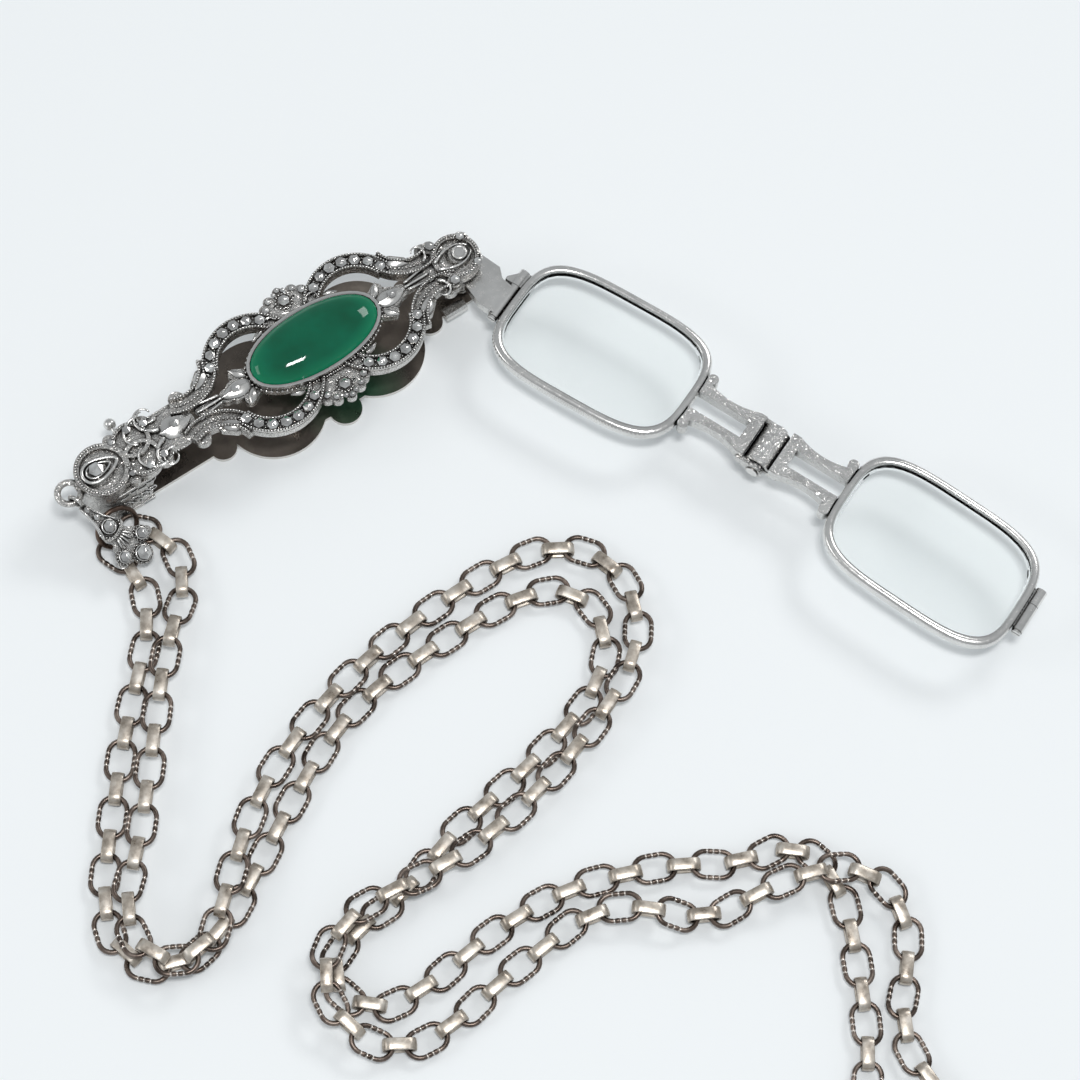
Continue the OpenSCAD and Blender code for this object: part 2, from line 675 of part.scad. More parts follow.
module hinge_pin() {
  color("lightgray") on_lenses() translate([fold_x, bridge_y - barrel_half, fold_z]) rotate([-90, 0, 0]) {
    translate([0, 0, -0.1]) cylinder(r = hinge_pin_r, h = 2 * barrel_half + 0.2);
    translate([0, 0, -0.3]) cylinder(r = 1.1, h = 0.3 - seat_gap);
    translate([0, 0, 2 * barrel_half + seat_gap]) cylinder(r = 0.85, h = 0.35);
  }
}

module hinge_spring() {
  color("darkgray") on_lenses() translate([fold_x, bridge_y + 0.15, fold_z]) rotate([-90, 0, 0])
    coil(1.15, 0.4, 0.25, barrel_half - 1.4, 6);
}

// Half-round cover over the hinge's spring, carried by the first arm
module spring_cover() {
  color("silver") on_lenses() translate([fold_x, bridge_y + barrel_half - 0.95, fold_z]) rotate([90, 0, 0])
    linear_extrude(2 * barrel_half - 1.9) difference() {
      intersection() {
        circle(box_r + 0.3);
        translate([-box_r - 0.05, 0.9]) square([2 * box_r + 0.1, 4]);
      }
      circle(box_r - 0.35);
    }
}

// The bail and the chain

// Where the bail's hook wraps the hanging ring, and how the bail lies
hook_a = 85;
bail_a = 65;
bail_dip = 28;
bail_face = 0.45;
hook_x = -gem_to_pivot + ring_u + hang_r * cos(hook_a);
hook_y = -hang_r * sin(hook_a);

// Bail pieces are drawn hanging down -Z from the hanging ring's wire, with +X to the front
module on_bail() {
  translate([hook_x, hook_y, ring_z]) rotate([0, 0, -bail_a]) rotate([0, bail_dip - 90, 0]) children();
}

// Flat work of the bail: drawn across and down, and raised from x0 to x1
module bail_flat(x0, x1) {
  on_bail() translate([x0, -0.25, 0]) rotate([90, 0, 90]) linear_extrude(x1 - x0) mirror([0, 1, 0]) children();
}

// Rings of wire that lie in the bail's own upright plane
module bail_eye(x, t, r, wire) {
  on_bail() translate([x, 0, -t]) rotate([90, 0, 0]) rotate_extrude() translate([r, 0]) circle(wire / 2);
}

module bail_body_2d() {
  tip = bail_len;
  polygon([[-0.55, hook_r - 0.2], [0.55, hook_r - 0.2], [0.8, 3], [1.2, 5.2], [2.2, 7.4], [2.35, 8.3], [1.5, 8.9],
    [0, 9.1], [-1.5, 8.9], [-2.35, 8.3], [-2, 6.6], [-1.2, 5], [-0.8, 3]]);
  polygon([[-1.6, 8.4], [1.6, 8.4], [2.6, 11], [1.6, tip - 2.6], [-1.6, tip - 2.6], [-2.6, 11]]);
  translate([0, tip - 1.9]) circle(1.9);
  for (m = [-1, 1]) side_petal_2d(m);
}

// Side petal made of two round lobes and a straight web
module side_petal_2d(m) {
  translate([m * 2.6, 12.2]) circle(1.5);
  translate([m * 3.6, 12.7]) circle(0.9);
  translate([m * 1.7, 10.8]) circle(1.2);
}

module bail() {
  color("silver") {
    bail_eye(0, 0, hook_r, hook_wire);
    bail_eye(-loop_r - loop_wire / 2, 5.75, loop_r, loop_wire);
    bail_flat(bail_face - bail_t, bail_face) bail_body_2d();
    // crescent edge of the collar
    bail_flat(bail_face - 0.1, bail_face + 0.35) difference() {
      translate([0, 5.4]) intersection() {
        circle(3.75);
        translate([-2.3, 1]) square([4.6, 4]);
      }
      translate([0, 5]) circle(3.55);
    }
    // ribs of the fan
    for (a = [-22, 0, 22]) bail_flat(bail_face - 0.1, bail_face + 0.2) translate([0, 8]) rotate(a)
      translate([-0.2, 1.2]) square([0.4, 2.4]);
    // raised settings of the stones
    bail_flat(bail_face - 0.1, bail_face + 0.5) {
      translate([0, 6.9]) circle(1.25);
      translate([0, bail_len - 1.9]) circle(1.5);
      for (m = [-1, 1]) translate([m * 2.6, 12.2]) circle(1.15);
      translate([0, 2.2]) circle(0.6);
    }
  }
}

module bail_stone(y, t, d) {
  on_bail() translate([bail_face + 0.5 + seat_gap, y - 0.25, -t]) rotate([0, 90, 0]) stone(d);
}

module bail_stones() {
  color("slategray") {
    bail_stone(0, 6.9, 2);
    bail_stone(0, bail_len - 1.9, 2.4);
    for (m = [-1, 1]) bail_stone(m * 2.6, 12.2, 1.7);
    bail_stone(0, 2.2, 0.9);
  }
}

// The chain is gathered by a ring that leans against the case's end
ring_at = [-76.15, -7.3];
ring_turn = -85.5;
ring_lean = 60.4;

module chain_ring() {
  color("dimgray") translate([ring_at[0], ring_at[1], chain_wire / 2 + chain_r * sin(ring_lean)])
    rotate([0, 0, ring_turn]) rotate([0, ring_lean, 0]) rotate_extrude() translate([chain_r, 0])
      circle(chain_wire / 2);
}

// A smooth curve through the route points, then equal chords along it
function fit4(a, b, c, d, t) = 0.5 * (2 * b + (c - a) * t + (2 * a - 5 * b + 4 * c - d) * t * t +
  (3 * b - a - 3 * c + d) * t * t * t);
function curve(P) = let (q = len(P) - 1) concat(
  [for (i = [0:q - 1], k = [0:15]) fit4(P[max(i - 1, 0)], P[i], P[i + 1], P[min(i + 2, q)], k / 16)], [P[q]]);
function seek(C, j, c) = j < len(C) && norm(C[j] - c) < pitch ? seek(C, j + 1, c) : j;
function cut_at(a, b, c) = let (e = b - a, f = a - c, h = e * f,
  t = (-h + sqrt(h * h - (e * e) * (f * f - pitch * pitch))) / (e * e)) a + t * e;
function steps(C, c, i) = let (j = seek(C, i + 1, c))
  j >= len(C) ? [c] : concat([c], steps(C, cut_at(C[j - 1], C[j], c), j - 1));
function strand(P) = let (C = curve(P)) steps(C, C[0], 0);
function backwards(P) = [for (i = [len(P) - 1:-1:0]) P[i]];
LOOP = concat(strand(LEFT), backwards(strand(RIGHT)));
function along(i) = (LOOP[i + 1] - LOOP[i]) / norm(LOOP[i + 1] - LOOP[i]);
function middle(i) = (LOOP[i] + LOOP[i + 1]) / 2 + [0, 0, band_h / 2];
function heading(v) = atan2(v[1], v[0]);
function dip(v) = -atan2(v[2], norm([v[0], v[1]]));

module lay(at, v) {
  translate(at) rotate([0, dip(v), heading(v)]) children();
}

module long_link() {
  s = (link_len - link_w) / 2;
  r = (link_w - link_wire) / 2;
  for (m = [0, 180]) rotate([0, 0, m]) {
    translate([s, 0, 0]) rotate([0, 0, -90]) rotate_extrude(angle = 180) translate([r, 0]) circle(link_wire / 2);
    translate([-s, r, 0]) rotate([0, 90, 0]) cylinder(r = link_wire / 2, h = 2 * s);
  }
}

module band_link() {
  rotate([90, 0, 0]) translate([0, 0, -band_wide / 2]) linear_extrude(band_wide) difference() {
    slot2d(band_len, band_h);
    slot2d(band_len - 2 * band_wall, band_h - 2 * band_wall);
  }
}

// One run of long links; the first and last of all hang on the gathering ring
module chain_long(k) {
  last = len(LOOP) - 2;
  color("saddlebrown") for (i = [LONG_RUN * (k - 1):min(LONG_RUN * k - 1, last)]) lay(middle(i), along(i)) long_link();
}

module chain_band(k) {
  s = (link_len - link_w) / 2;
  last = len(LOOP) - 2;
  color("tan") for (i = [BAND_RUN * (k - 1) + 1:min(BAND_RUN * k, last)])
    let (a = middle(i - 1) + s * along(i - 1), b = middle(i) - s * along(i)) lay((a + b) / 2, b - a) band_link();
}

module chain_long_1() chain_long(1);
module chain_long_2() chain_long(2);
module chain_long_3() chain_long(3);
module chain_long_4() chain_long(4);
module chain_long_5() chain_long(5);
module chain_long_6() chain_long(6);
module chain_band_1() chain_band(1);
module chain_band_2() chain_band(2);
module chain_band_3() chain_band(3);
module chain_band_4() chain_band(4);

back_plate();
front_cover();
gem_setting();
cabochon();
cover_stones();
pivot_pin();
pivot_spring();
stop_block();
catch_button();
catch_guide();
catch_spring();
pivot_bracket();
closing_lug();
closing_screw_1();
lens_rim_1();
lens_1();
bridge_arm_1();
hinge_pin();
hinge_spring();
spring_cover();
bridge_arm_2();
lens_rim_2();
lens_2();
closing_tubes_2();
closing_screw_2();
bail();
bail_stones();
chain_ring();
chain_long_1();
chain_long_2();
chain_long_3();
chain_long_4();
chain_long_5();
chain_long_6();
chain_band_1();
chain_band_2();
chain_band_3();
chain_band_4();
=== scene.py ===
"""Dresses the folding lorgnette for its picture: stones, grain work, milled rims and chain."""

import math

import bmesh
import bpy
from mathutils import Matrix, Vector


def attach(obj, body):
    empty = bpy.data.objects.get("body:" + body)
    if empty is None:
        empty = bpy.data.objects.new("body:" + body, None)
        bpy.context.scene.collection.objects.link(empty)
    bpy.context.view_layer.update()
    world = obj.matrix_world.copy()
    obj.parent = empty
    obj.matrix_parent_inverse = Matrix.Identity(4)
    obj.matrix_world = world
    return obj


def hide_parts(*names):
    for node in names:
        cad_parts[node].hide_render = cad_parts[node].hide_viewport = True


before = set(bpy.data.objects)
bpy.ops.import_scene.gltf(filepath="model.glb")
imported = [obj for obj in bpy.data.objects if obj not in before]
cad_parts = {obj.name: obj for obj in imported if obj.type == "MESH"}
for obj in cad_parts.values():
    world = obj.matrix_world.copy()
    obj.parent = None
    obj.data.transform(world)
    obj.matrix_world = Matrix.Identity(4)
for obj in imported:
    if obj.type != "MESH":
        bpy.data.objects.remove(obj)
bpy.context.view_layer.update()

bl_info = {
    "name": "Folding Lorgnette",
    "version": (1, 0, 0),
    "blender": (4, 5, 0),
    "location": "View3D > Sidebar > Lorgnette",
    "description": "Builds the visible finish of a jewelled folding lorgnette",
    "category": "Add Mesh",
}

MM = 0.001

# Places in millimetres; on the case they are measured in plan from the gem's middle
GEM_TO_PIVOT = 30.6
COVER_Z = 9.6
FACE_Z = 11.2
EDGE_Z = 11.9
BAND_MIDDLE = (10.5, 2.4)
BAND_STONES = 7
BAND_START = 128
BAND_STEP = 17.2
BAND_STONE_RADIUS = 9.4 - 1.45
ARM_MIDDLE = (24.0, 9.3)
CUP_U = -43.2
CUP_WALL_V = -4.97
FOOT_HALVES = (13.35, 6.7)
FOOT_GRAINS = 96
OVAL_POWER = 2.1
GRAIN_RADIUS = 0.24
GRAIN_GAP = 0.52

# Places of the lenses, measured along the bridge from the pivot
LENS_Z = 7.8
LENS_X = 30.3
LENS_SLANT = 0.04
FOLD_X = 64.0
OPEN_ANGLE = math.radians(68.4)

# Lie of the bail on its hook, and how far its middle sits to one side of the hook
BAIL_TURN = math.radians(65)
BAIL_DIP = math.radians(28)
BAIL_SIDE = 0.25
HOOK_TURN = math.radians(85)
HOOK_RADIUS = 2
HOOK_U = -49.9
HOOK_Z = 10.3

# Lamps: name, place (across, up the picture, height), size and power
LOOK_AT = (-0.03, -0.05, 0.0)
LAMPS = (
    ("overhead", (0.04, -0.17, 0.95), (0.22, 0.12), 3.9),
    ("window", (0.7, 0.75, 0.85), (0.5, 0.3), 3.4),
    ("soft side", (-1.0, -0.1, 0.6), (0.6, 0.3), 1.6),
)

# Routes of the chain's two strands from the ring: x, y, lift off the table
LEFT = [
    (-80.3, -6.2, 0.3), (-76.9, -15.5, 0), (-80, -24, 0), (-93.5, -37.5, 0), (-107, -53.5, 0),
    (-114, -62.5, 0), (-116, -72, 0), (-109, -78.5, 0), (-99, -76.5, 0), (-80.5, -66, 0),
    (-62, -57, 0), (-41.5, -55.3, 0), (-23, -56.3, 0), (-15.8, -61, 0), (-16, -69, 0),
    (-22, -76, 0), (-37, -81, 0), (-57, -84, 0), (-67, -86, 0), (-74, -90, 0), (-82, -88.5, 0),
    (-90, -92, 0), (-91, -99, 0), (-83, -104, 0), (-71, -102.5, 0), (-50.5, -102.5, 0),
    (-33, -109, 0), (-25, -113.5, 0), (-19.5, -118.5, 0), (-12, -117.5, 0), (-10, -124, 0),
    (-12.5, -132, 0), (-20.5, -147.5, 0), (-26, -156, 0), (-34, -165, 0), (-33, -176, 0),
]
RIGHT = [
    (-76.3, -5.3, 0.3), (-69.3, -12.3, 0), (-70, -20.5, 0), (-76, -26, 2.1), (-82.5, -32, 2.1),
    (-95.5, -48, 2.1), (-108, -62.5, 2.8), (-115, -68.5, 3.3), (-108, -81, 3.3), (-98, -74, 3.2),
    (-81.5, -60.5, 2.1), (-62, -53, 2.1), (-42.5, -49.5, 0), (-21.5, -49.8, 0), (-11, -54, 0),
    (-8.3, -64, 0.3), (-13, -74, 2.1), (-21, -79.5, 2.1), (-40, -86, 2.1), (-60.5, -89, 3),
    (-81, -86.5, 3.2), (-90, -90.5, 3.2), (-93, -99, 3.2), (-90, -107.5, 0.6), (-82, -112.5, 0),
    (-73, -110, 0), (-53, -108.5, 0), (-44, -108.5, 2.1), (-38.5, -114.5, 2.1), (-33, -121, 0),
    (-25, -121.5, 2.1), (-17, -123, 3.2), (-8, -126, 3.2), (-3.5, -133.5, 0), (-7, -142.5, 0),
    (-20.5, -156, 0), (-18, -165, 0), (-19, -175, 0), (-27, -177, 0),
]


# Small makers shared by the pieces


def mesh_piece(name, verts, faces, smooth=True):
    """A new mesh object from points in millimetres."""
    mesh = bpy.data.meshes.new(name)
    mesh.from_pydata([Vector(v) * MM for v in verts], [], faces)
    mesh.validate()
    if smooth:
        mesh.polygons.foreach_set("use_smooth", [True] * len(mesh.polygons))
    piece = bpy.data.objects.new(name, mesh)
    bpy.context.collection.objects.link(piece)
    return piece


def drop(piece):
    """Removes a pattern piece that has been used."""
    mesh = piece.data
    bpy.data.objects.remove(piece)
    bpy.data.meshes.remove(mesh)


def round_faces(rows, sides, closed=False):
    """Four-sided faces between rows of points, where each row runs right round."""
    faces = []
    for i in range(rows if closed else rows - 1):
        here, there = i * sides, (i + 1) % rows * sides
        for k in range(sides):
            n = (k + 1) % sides
            faces.append((here + k, here + n, there + n, there + k))
    return faces


def tube_rings(path, radii, sides=8, closed=False):
    """Points and faces of a tube along a path, with a radius at each point."""
    verts = []
    n = len(path)
    points = [Vector(p) for p in path]
    lead = Vector((0, 0, 1))
    for i, p in enumerate(points):
        before = points[i - 1] if i or closed else p
        after = points[(i + 1) % n] if i < n - 1 or closed else p
        run = (after - before).normalized()
        if abs(run.dot(lead)) > 0.95:
            lead = Vector((1, 0, 0))
        side = run.cross(lead).normalized()
        lead = side.cross(run).normalized()
        for k in range(sides):
            a = 2 * math.pi * k / sides
            verts.append(p + radii[i] * (math.cos(a) * side + math.sin(a) * lead))
    faces = round_faces(n, sides, closed)
    if not closed:
        faces.append(tuple(reversed(range(sides))))
        faces.append(tuple(range((n - 1) * sides, n * sides)))
    return verts, faces


def rope(path, radius, sides=6, closed=False):
    """A tube of one radius along a path."""
    return tube_rings(path, [radius] * len(path), sides, closed)


def gather(parts):
    """Several (points, faces) pairs as one."""
    verts, faces = [], []
    for v, f in parts:
        n = len(verts)
        verts.extend(v)
        faces.extend(tuple(i + n for i in face) for face in f)
    return verts, faces


def arc(centre, radius, start, stop, z, step=0.5):
    """Points along an arc in plan, a set step apart."""
    n = max(2, round(abs(math.radians(stop - start)) * radius / step))
    points = []
    for i in range(n + 1):
        a = math.radians(start + (stop - start) * i / n)
        points.append((centre[0] + radius * math.cos(a), centre[1] + radius * math.sin(a), z))
    return points


def quarters(points):
    """The same points in all four quarters about the gem."""
    return [
        [(mx * x, my * y, z) for x, y, z in points]
        for mx in (1, -1)
        for my in (1, -1)
    ]


def on_case(points):
    """Moves points about the gem into the shared frame."""
    return [(x - GEM_TO_PIVOT, y, z) for x, y, z in points]


def on_line(a, b, n, z):
    """Points along a straight line in plan."""
    return [(a[0] + (b[0] - a[0]) * i / n, a[1] + (b[1] - a[1]) * i / n, z) for i in range(n + 1)]


def oval_radius(t, a, b, power=OVAL_POWER):
    """Distance from an oval's middle to its outline, in direction t."""
    return ((abs(math.cos(t)) / a) ** power + (abs(math.sin(t)) / b) ** power) ** (-1 / power)


def ornament_tree():
    """Geometry nodes that set a pattern piece on every point."""
    tree = bpy.data.node_groups.get("set on points")
    if tree:
        return tree
    tree = bpy.data.node_groups.new("set on points", "GeometryNodeTree")
    for name, kind in (("Points", "Geometry"), ("Pattern", "Object"), ("Finish", "Material")):
        tree.interface.new_socket(name, in_out="INPUT", socket_type=f"NodeSocket{kind}")
    tree.interface.new_socket("Set Points", in_out="OUTPUT", socket_type="NodeSocketGeometry")
    nodes, links = tree.nodes, tree.links
    start = nodes.new("NodeGroupInput")
    end = nodes.new("NodeGroupOutput")
    pattern = nodes.new("GeometryNodeObjectInfo")
    place = nodes.new("GeometryNodeInstanceOnPoints")
    turn = nodes.new("GeometryNodeInputNamedAttribute")
    grow = nodes.new("GeometryNodeInputNamedAttribute")
    for node, key in ((turn, "turn"), (grow, "grow")):
        node.data_type = "FLOAT_VECTOR"
        node.inputs["Name"].default_value = key
    to_turn = nodes.new("FunctionNodeEulerToRotation")
    solid = nodes.new("GeometryNodeRealizeInstances")
    finish = nodes.new("GeometryNodeSetMaterial")
    links.new(start.outputs["Pattern"], pattern.inputs["Object"])
    links.new(start.outputs["Points"], place.inputs["Points"])
    links.new(pattern.outputs["Geometry"], place.inputs["Instance"])
    links.new(turn.outputs["Attribute"], to_turn.inputs[0])
    links.new(to_turn.outputs[0], place.inputs["Rotation"])
    links.new(grow.outputs["Attribute"], place.inputs["Scale"])
    links.new(place.outputs["Instances"], solid.inputs["Geometry"])
    links.new(solid.outputs["Geometry"], finish.inputs["Geometry"])
    links.new(start.outputs["Finish"], finish.inputs["Material"])
    links.new(finish.outputs["Geometry"], end.inputs["Set Points"])
    return tree


def set_on_points(name, pattern, places, finish):
    """One mesh made of the pattern at every place: (point in mm, turn, growth)."""
    mesh = bpy.data.meshes.new(name + " points")
    mesh.from_pydata([Vector(p) * MM for p, _, _ in places], [], [])
    turn = mesh.attributes.new("turn", "FLOAT_VECTOR", "POINT")
    turn.data.foreach_set("vector", [c for _, t, _ in places for c in t])
    grow = mesh.attributes.new("grow", "FLOAT_VECTOR", "POINT")
    grow.data.foreach_set("vector", [c for _, _, g in places for c in g])
    holder = bpy.data.objects.new(name + " holder", mesh)
    bpy.context.collection.objects.link(holder)
    tree = ornament_tree()
    setter = holder.modifiers.new("set", "NODES")
    setter.node_group = tree
    keys = {s.name: s.identifier for s in tree.interface.items_tree if s.in_out == "INPUT"}
    setter[keys["Pattern"]] = pattern
    setter[keys["Finish"]] = finish
    bpy.context.view_layer.update()
    seen = holder.evaluated_get(bpy.context.evaluated_depsgraph_get())
    made = bpy.data.meshes.new_from_object(seen)
    made.name = name
    holder.modifiers.clear()
    bpy.data.objects.remove(holder)
    bpy.data.meshes.remove(mesh)
    for key in ("turn", "grow"):
        if key in made.attributes:
            made.attributes.remove(made.attributes[key])
    piece = bpy.data.objects.new(name, made)
    bpy.context.collection.objects.link(piece)
    return piece


def grain():
    """A small round grain, as a pattern."""
    piece = bpy.data.objects.new("grain", bpy.data.meshes.new("grain"))
    shape = bmesh.new()
    bmesh.ops.create_icosphere(shape, subdivisions=1, radius=GRAIN_RADIUS * MM)
    shape.to_mesh(piece.data)
    shape.free()
    piece.data.polygons.foreach_set("use_smooth", [True] * len(piece.data.polygons))
    bpy.context.collection.objects.link(piece)
    return piece


def cut_stone():
    """A six-sided stone of unit width with a pointed crown, as a pattern."""
    sides = 6
    # radius, height and turn of each ring of corners
    rings = [(0.5, 0.0, 0), (0.52, 0.18, 0), (0.3, 0.36, 30), (0.07, 0.46, 0)]
    verts = []
    for r, z, turn in rings:
        for i in range(sides):
            a = math.radians(60 * i + turn)
            verts.append((r * math.cos(a), r * math.sin(a), z))
    faces = []
    for k in range(len(rings) - 1):
        for i in range(sides):
            a, b = k * sides + i, k * sides + (i + 1) % sides
            faces.append((a, b, b + sides))
            faces.append((a, b + sides, a + sides))
    faces.append(tuple(range(len(verts) - sides, len(verts))))
    faces.append(tuple(reversed(range(sides))))
    return mesh_piece("stone pattern", verts, faces, smooth=False)


# Finishes


class Finish:
    """A material built on the one surface shader of its default node tree."""

    def __init__(self, name):
        self.material = bpy.data.materials.new(name)
        self.material.use_nodes = True
        self.nodes = self.material.node_tree.nodes
        self.links = self.material.node_tree.links
        self.shader = next(n for n in self.nodes if n.type == "BSDF_PRINCIPLED")
        self.coords = self.nodes.new("ShaderNodeTexCoord")

    def set(self, **values):
        for key, value in values.items():
            self.shader.inputs[key.replace("_", " ")].default_value = value
        return self

    def reader(self, kind, output="Object", socket="Vector"):
        """A node that reads the piece's own coordinates."""
        node = self.nodes.new(kind)
        self.links.new(self.coords.outputs[output], node.inputs[socket])
        return node

    def noise(self, scale, detail=4.0, rough=0.6):
        node = self.reader("ShaderNodeTexNoise")
        node.inputs["Scale"].default_value = scale
        node.inputs["Detail"].default_value = detail
        node.inputs["Roughness"].default_value = rough
        return node.outputs["Fac"]

    def cells(self, scale, feature="F1"):
        node = self.reader("ShaderNodeTexVoronoi")
        node.feature = feature
        node.inputs["Scale"].default_value = scale
        return node.outputs["Distance"]

    def ramp(self, source, *stops):
        node = self.nodes.new("ShaderNodeValToRGB")
        bar = node.color_ramp
        while len(bar.elements) < len(stops):
            bar.elements.new(0.5)
        for mark, (at, colour) in zip(bar.elements, stops):
            mark.position = at
            mark.color = (*colour, 1.0)
        self.links.new(source, node.inputs["Fac"])
        return node.outputs["Color"]

    def level(self, source, low, high, at_low=0.0, at_high=1.0):
        node = self.nodes.new("ShaderNodeMapRange")
        node.inputs["From Min"].default_value = low
        node.inputs["From Max"].default_value = high
        node.inputs["To Min"].default_value = at_low
        node.inputs["To Max"].default_value = at_high
        self.links.new(source, node.inputs["Value"])
        return node.outputs["Result"]

    def blend(self, factor, a, b, mode="MIX"):
        node = self.nodes.new("ShaderNodeMix")
        node.data_type = "RGBA"
        node.blend_type = mode
        plugs = [s for s in node.inputs if s.type == "RGBA"]
        if isinstance(factor, float):
            node.inputs[0].default_value = factor
        else:
            self.links.new(factor, node.inputs[0])
        for plug, value in zip(plugs, (a, b)):
            if isinstance(value, tuple):
                plug.default_value = (*value, 1.0)
            else:
                self.links.new(value, plug)
        return next(s for s in node.outputs if s.type == "RGBA")

    def let_light_through(self):
        """Glass that throws hardly any shadow."""
        path = self.nodes.new("ShaderNodeLightPath")
        clear = self.nodes.new("ShaderNodeBsdfTransparent")
        clear.inputs["Color"].default_value = (0.97, 0.98, 0.98, 1.0)
        either = self.nodes.new("ShaderNodeMath")
        either.operation = "MAXIMUM"
        mix = self.nodes.new("ShaderNodeMixShader")
        end = next(n for n in self.nodes if n.type == "OUTPUT_MATERIAL")
        self.links.new(path.outputs["Is Shadow Ray"], either.inputs[0])
        self.links.new(path.outputs["Is Diffuse Ray"], either.inputs[1])
        self.links.new(either.outputs[0], mix.inputs[0])
        self.links.new(self.shader.outputs[0], mix.inputs[1])
        self.links.new(clear.outputs[0], mix.inputs[2])
        self.links.new(mix.outputs[0], end.inputs["Surface"])

    def recess(self, reach):
        node = self.nodes.new("ShaderNodeAmbientOcclusion")
        node.samples = 6
        node.inputs["Distance"].default_value = reach * MM
        return node.outputs["AO"]

    def height(self):
        return self.reader("ShaderNodeSeparateXYZ").outputs["Z"]

    def facing_up(self):
        return self.reader("ShaderNodeSeparateXYZ", "Normal").outputs["Z"]

    def reach(self, point):
        """Distance from a point given in millimetres."""
        node = self.reader("ShaderNodeVectorMath", socket=0)
        node.operation = "DISTANCE"
        node.inputs[1].default_value = [c * MM for c in point]
        return node.outputs["Value"]

    def attribute(self, name):
        node = self.nodes.new("ShaderNodeAttribute")
        node.attribute_name = name
        return node.outputs["Fac"]

    def plug(self, socket, source):
        self.links.new(source, self.shader.inputs[socket])
        return self

    def rough(self, source, smoothest, roughest):
        return self.plug("Roughness", self.level(source, 0.3, 0.7, smoothest, roughest))

    def bump(self, source, depth, strength=1.0):
        node = self.nodes.new("ShaderNodeBump")
        node.inputs["Distance"].default_value = depth * MM
        node.inputs["Strength"].default_value = strength
        self.links.new(source, node.inputs["Height"])
        last = self.shader.inputs["Normal"].links
        if last:
            self.links.new(last[0].from_socket, node.inputs["Normal"])
        self.links.new(node.outputs["Normal"], self.shader.inputs["Normal"])
        return self


def silver_finish(name, tone, wear=0.5, engraved=0.0, patina=(0.025, 0.021, 0.018)):
    """Old bright metal, dark in its recesses, with fine scratches and soft dents."""
    f = Finish(name).set(Metallic=1.0)
    spots = f.noise(900, 6, 0.7)
    cloud = f.noise(160, 3)
    body = f.ramp(cloud, (0.3, tuple(c * 0.8 for c in tone)), (0.7, tone))
    deep = f.level(f.recess(0.9), 0.42, 0.95)
    colour = f.blend(deep, patina, body)
    tarnish = f.level(spots, 0.52, 0.72)
    colour = f.blend(f.level(tarnish, 0.0, 1.0, 0.0, wear), colour, (0.2, 0.17, 0.14))
    if engraved:
        cuts = f.cells(2300, "DISTANCE_TO_EDGE")
        line = f.level(cuts, 0.0, 0.12)
        colour = f.blend(f.level(line, 0.0, 1.0, engraved, 0.0), colour, (0.03, 0.026, 0.022))
        f.bump(line, 0.06, 0.7)
    f.plug("Base Color", colour).rough(spots, 0.12, 0.32)
    f.bump(f.noise(420, 3), 0.05, 0.5)
    return f.material


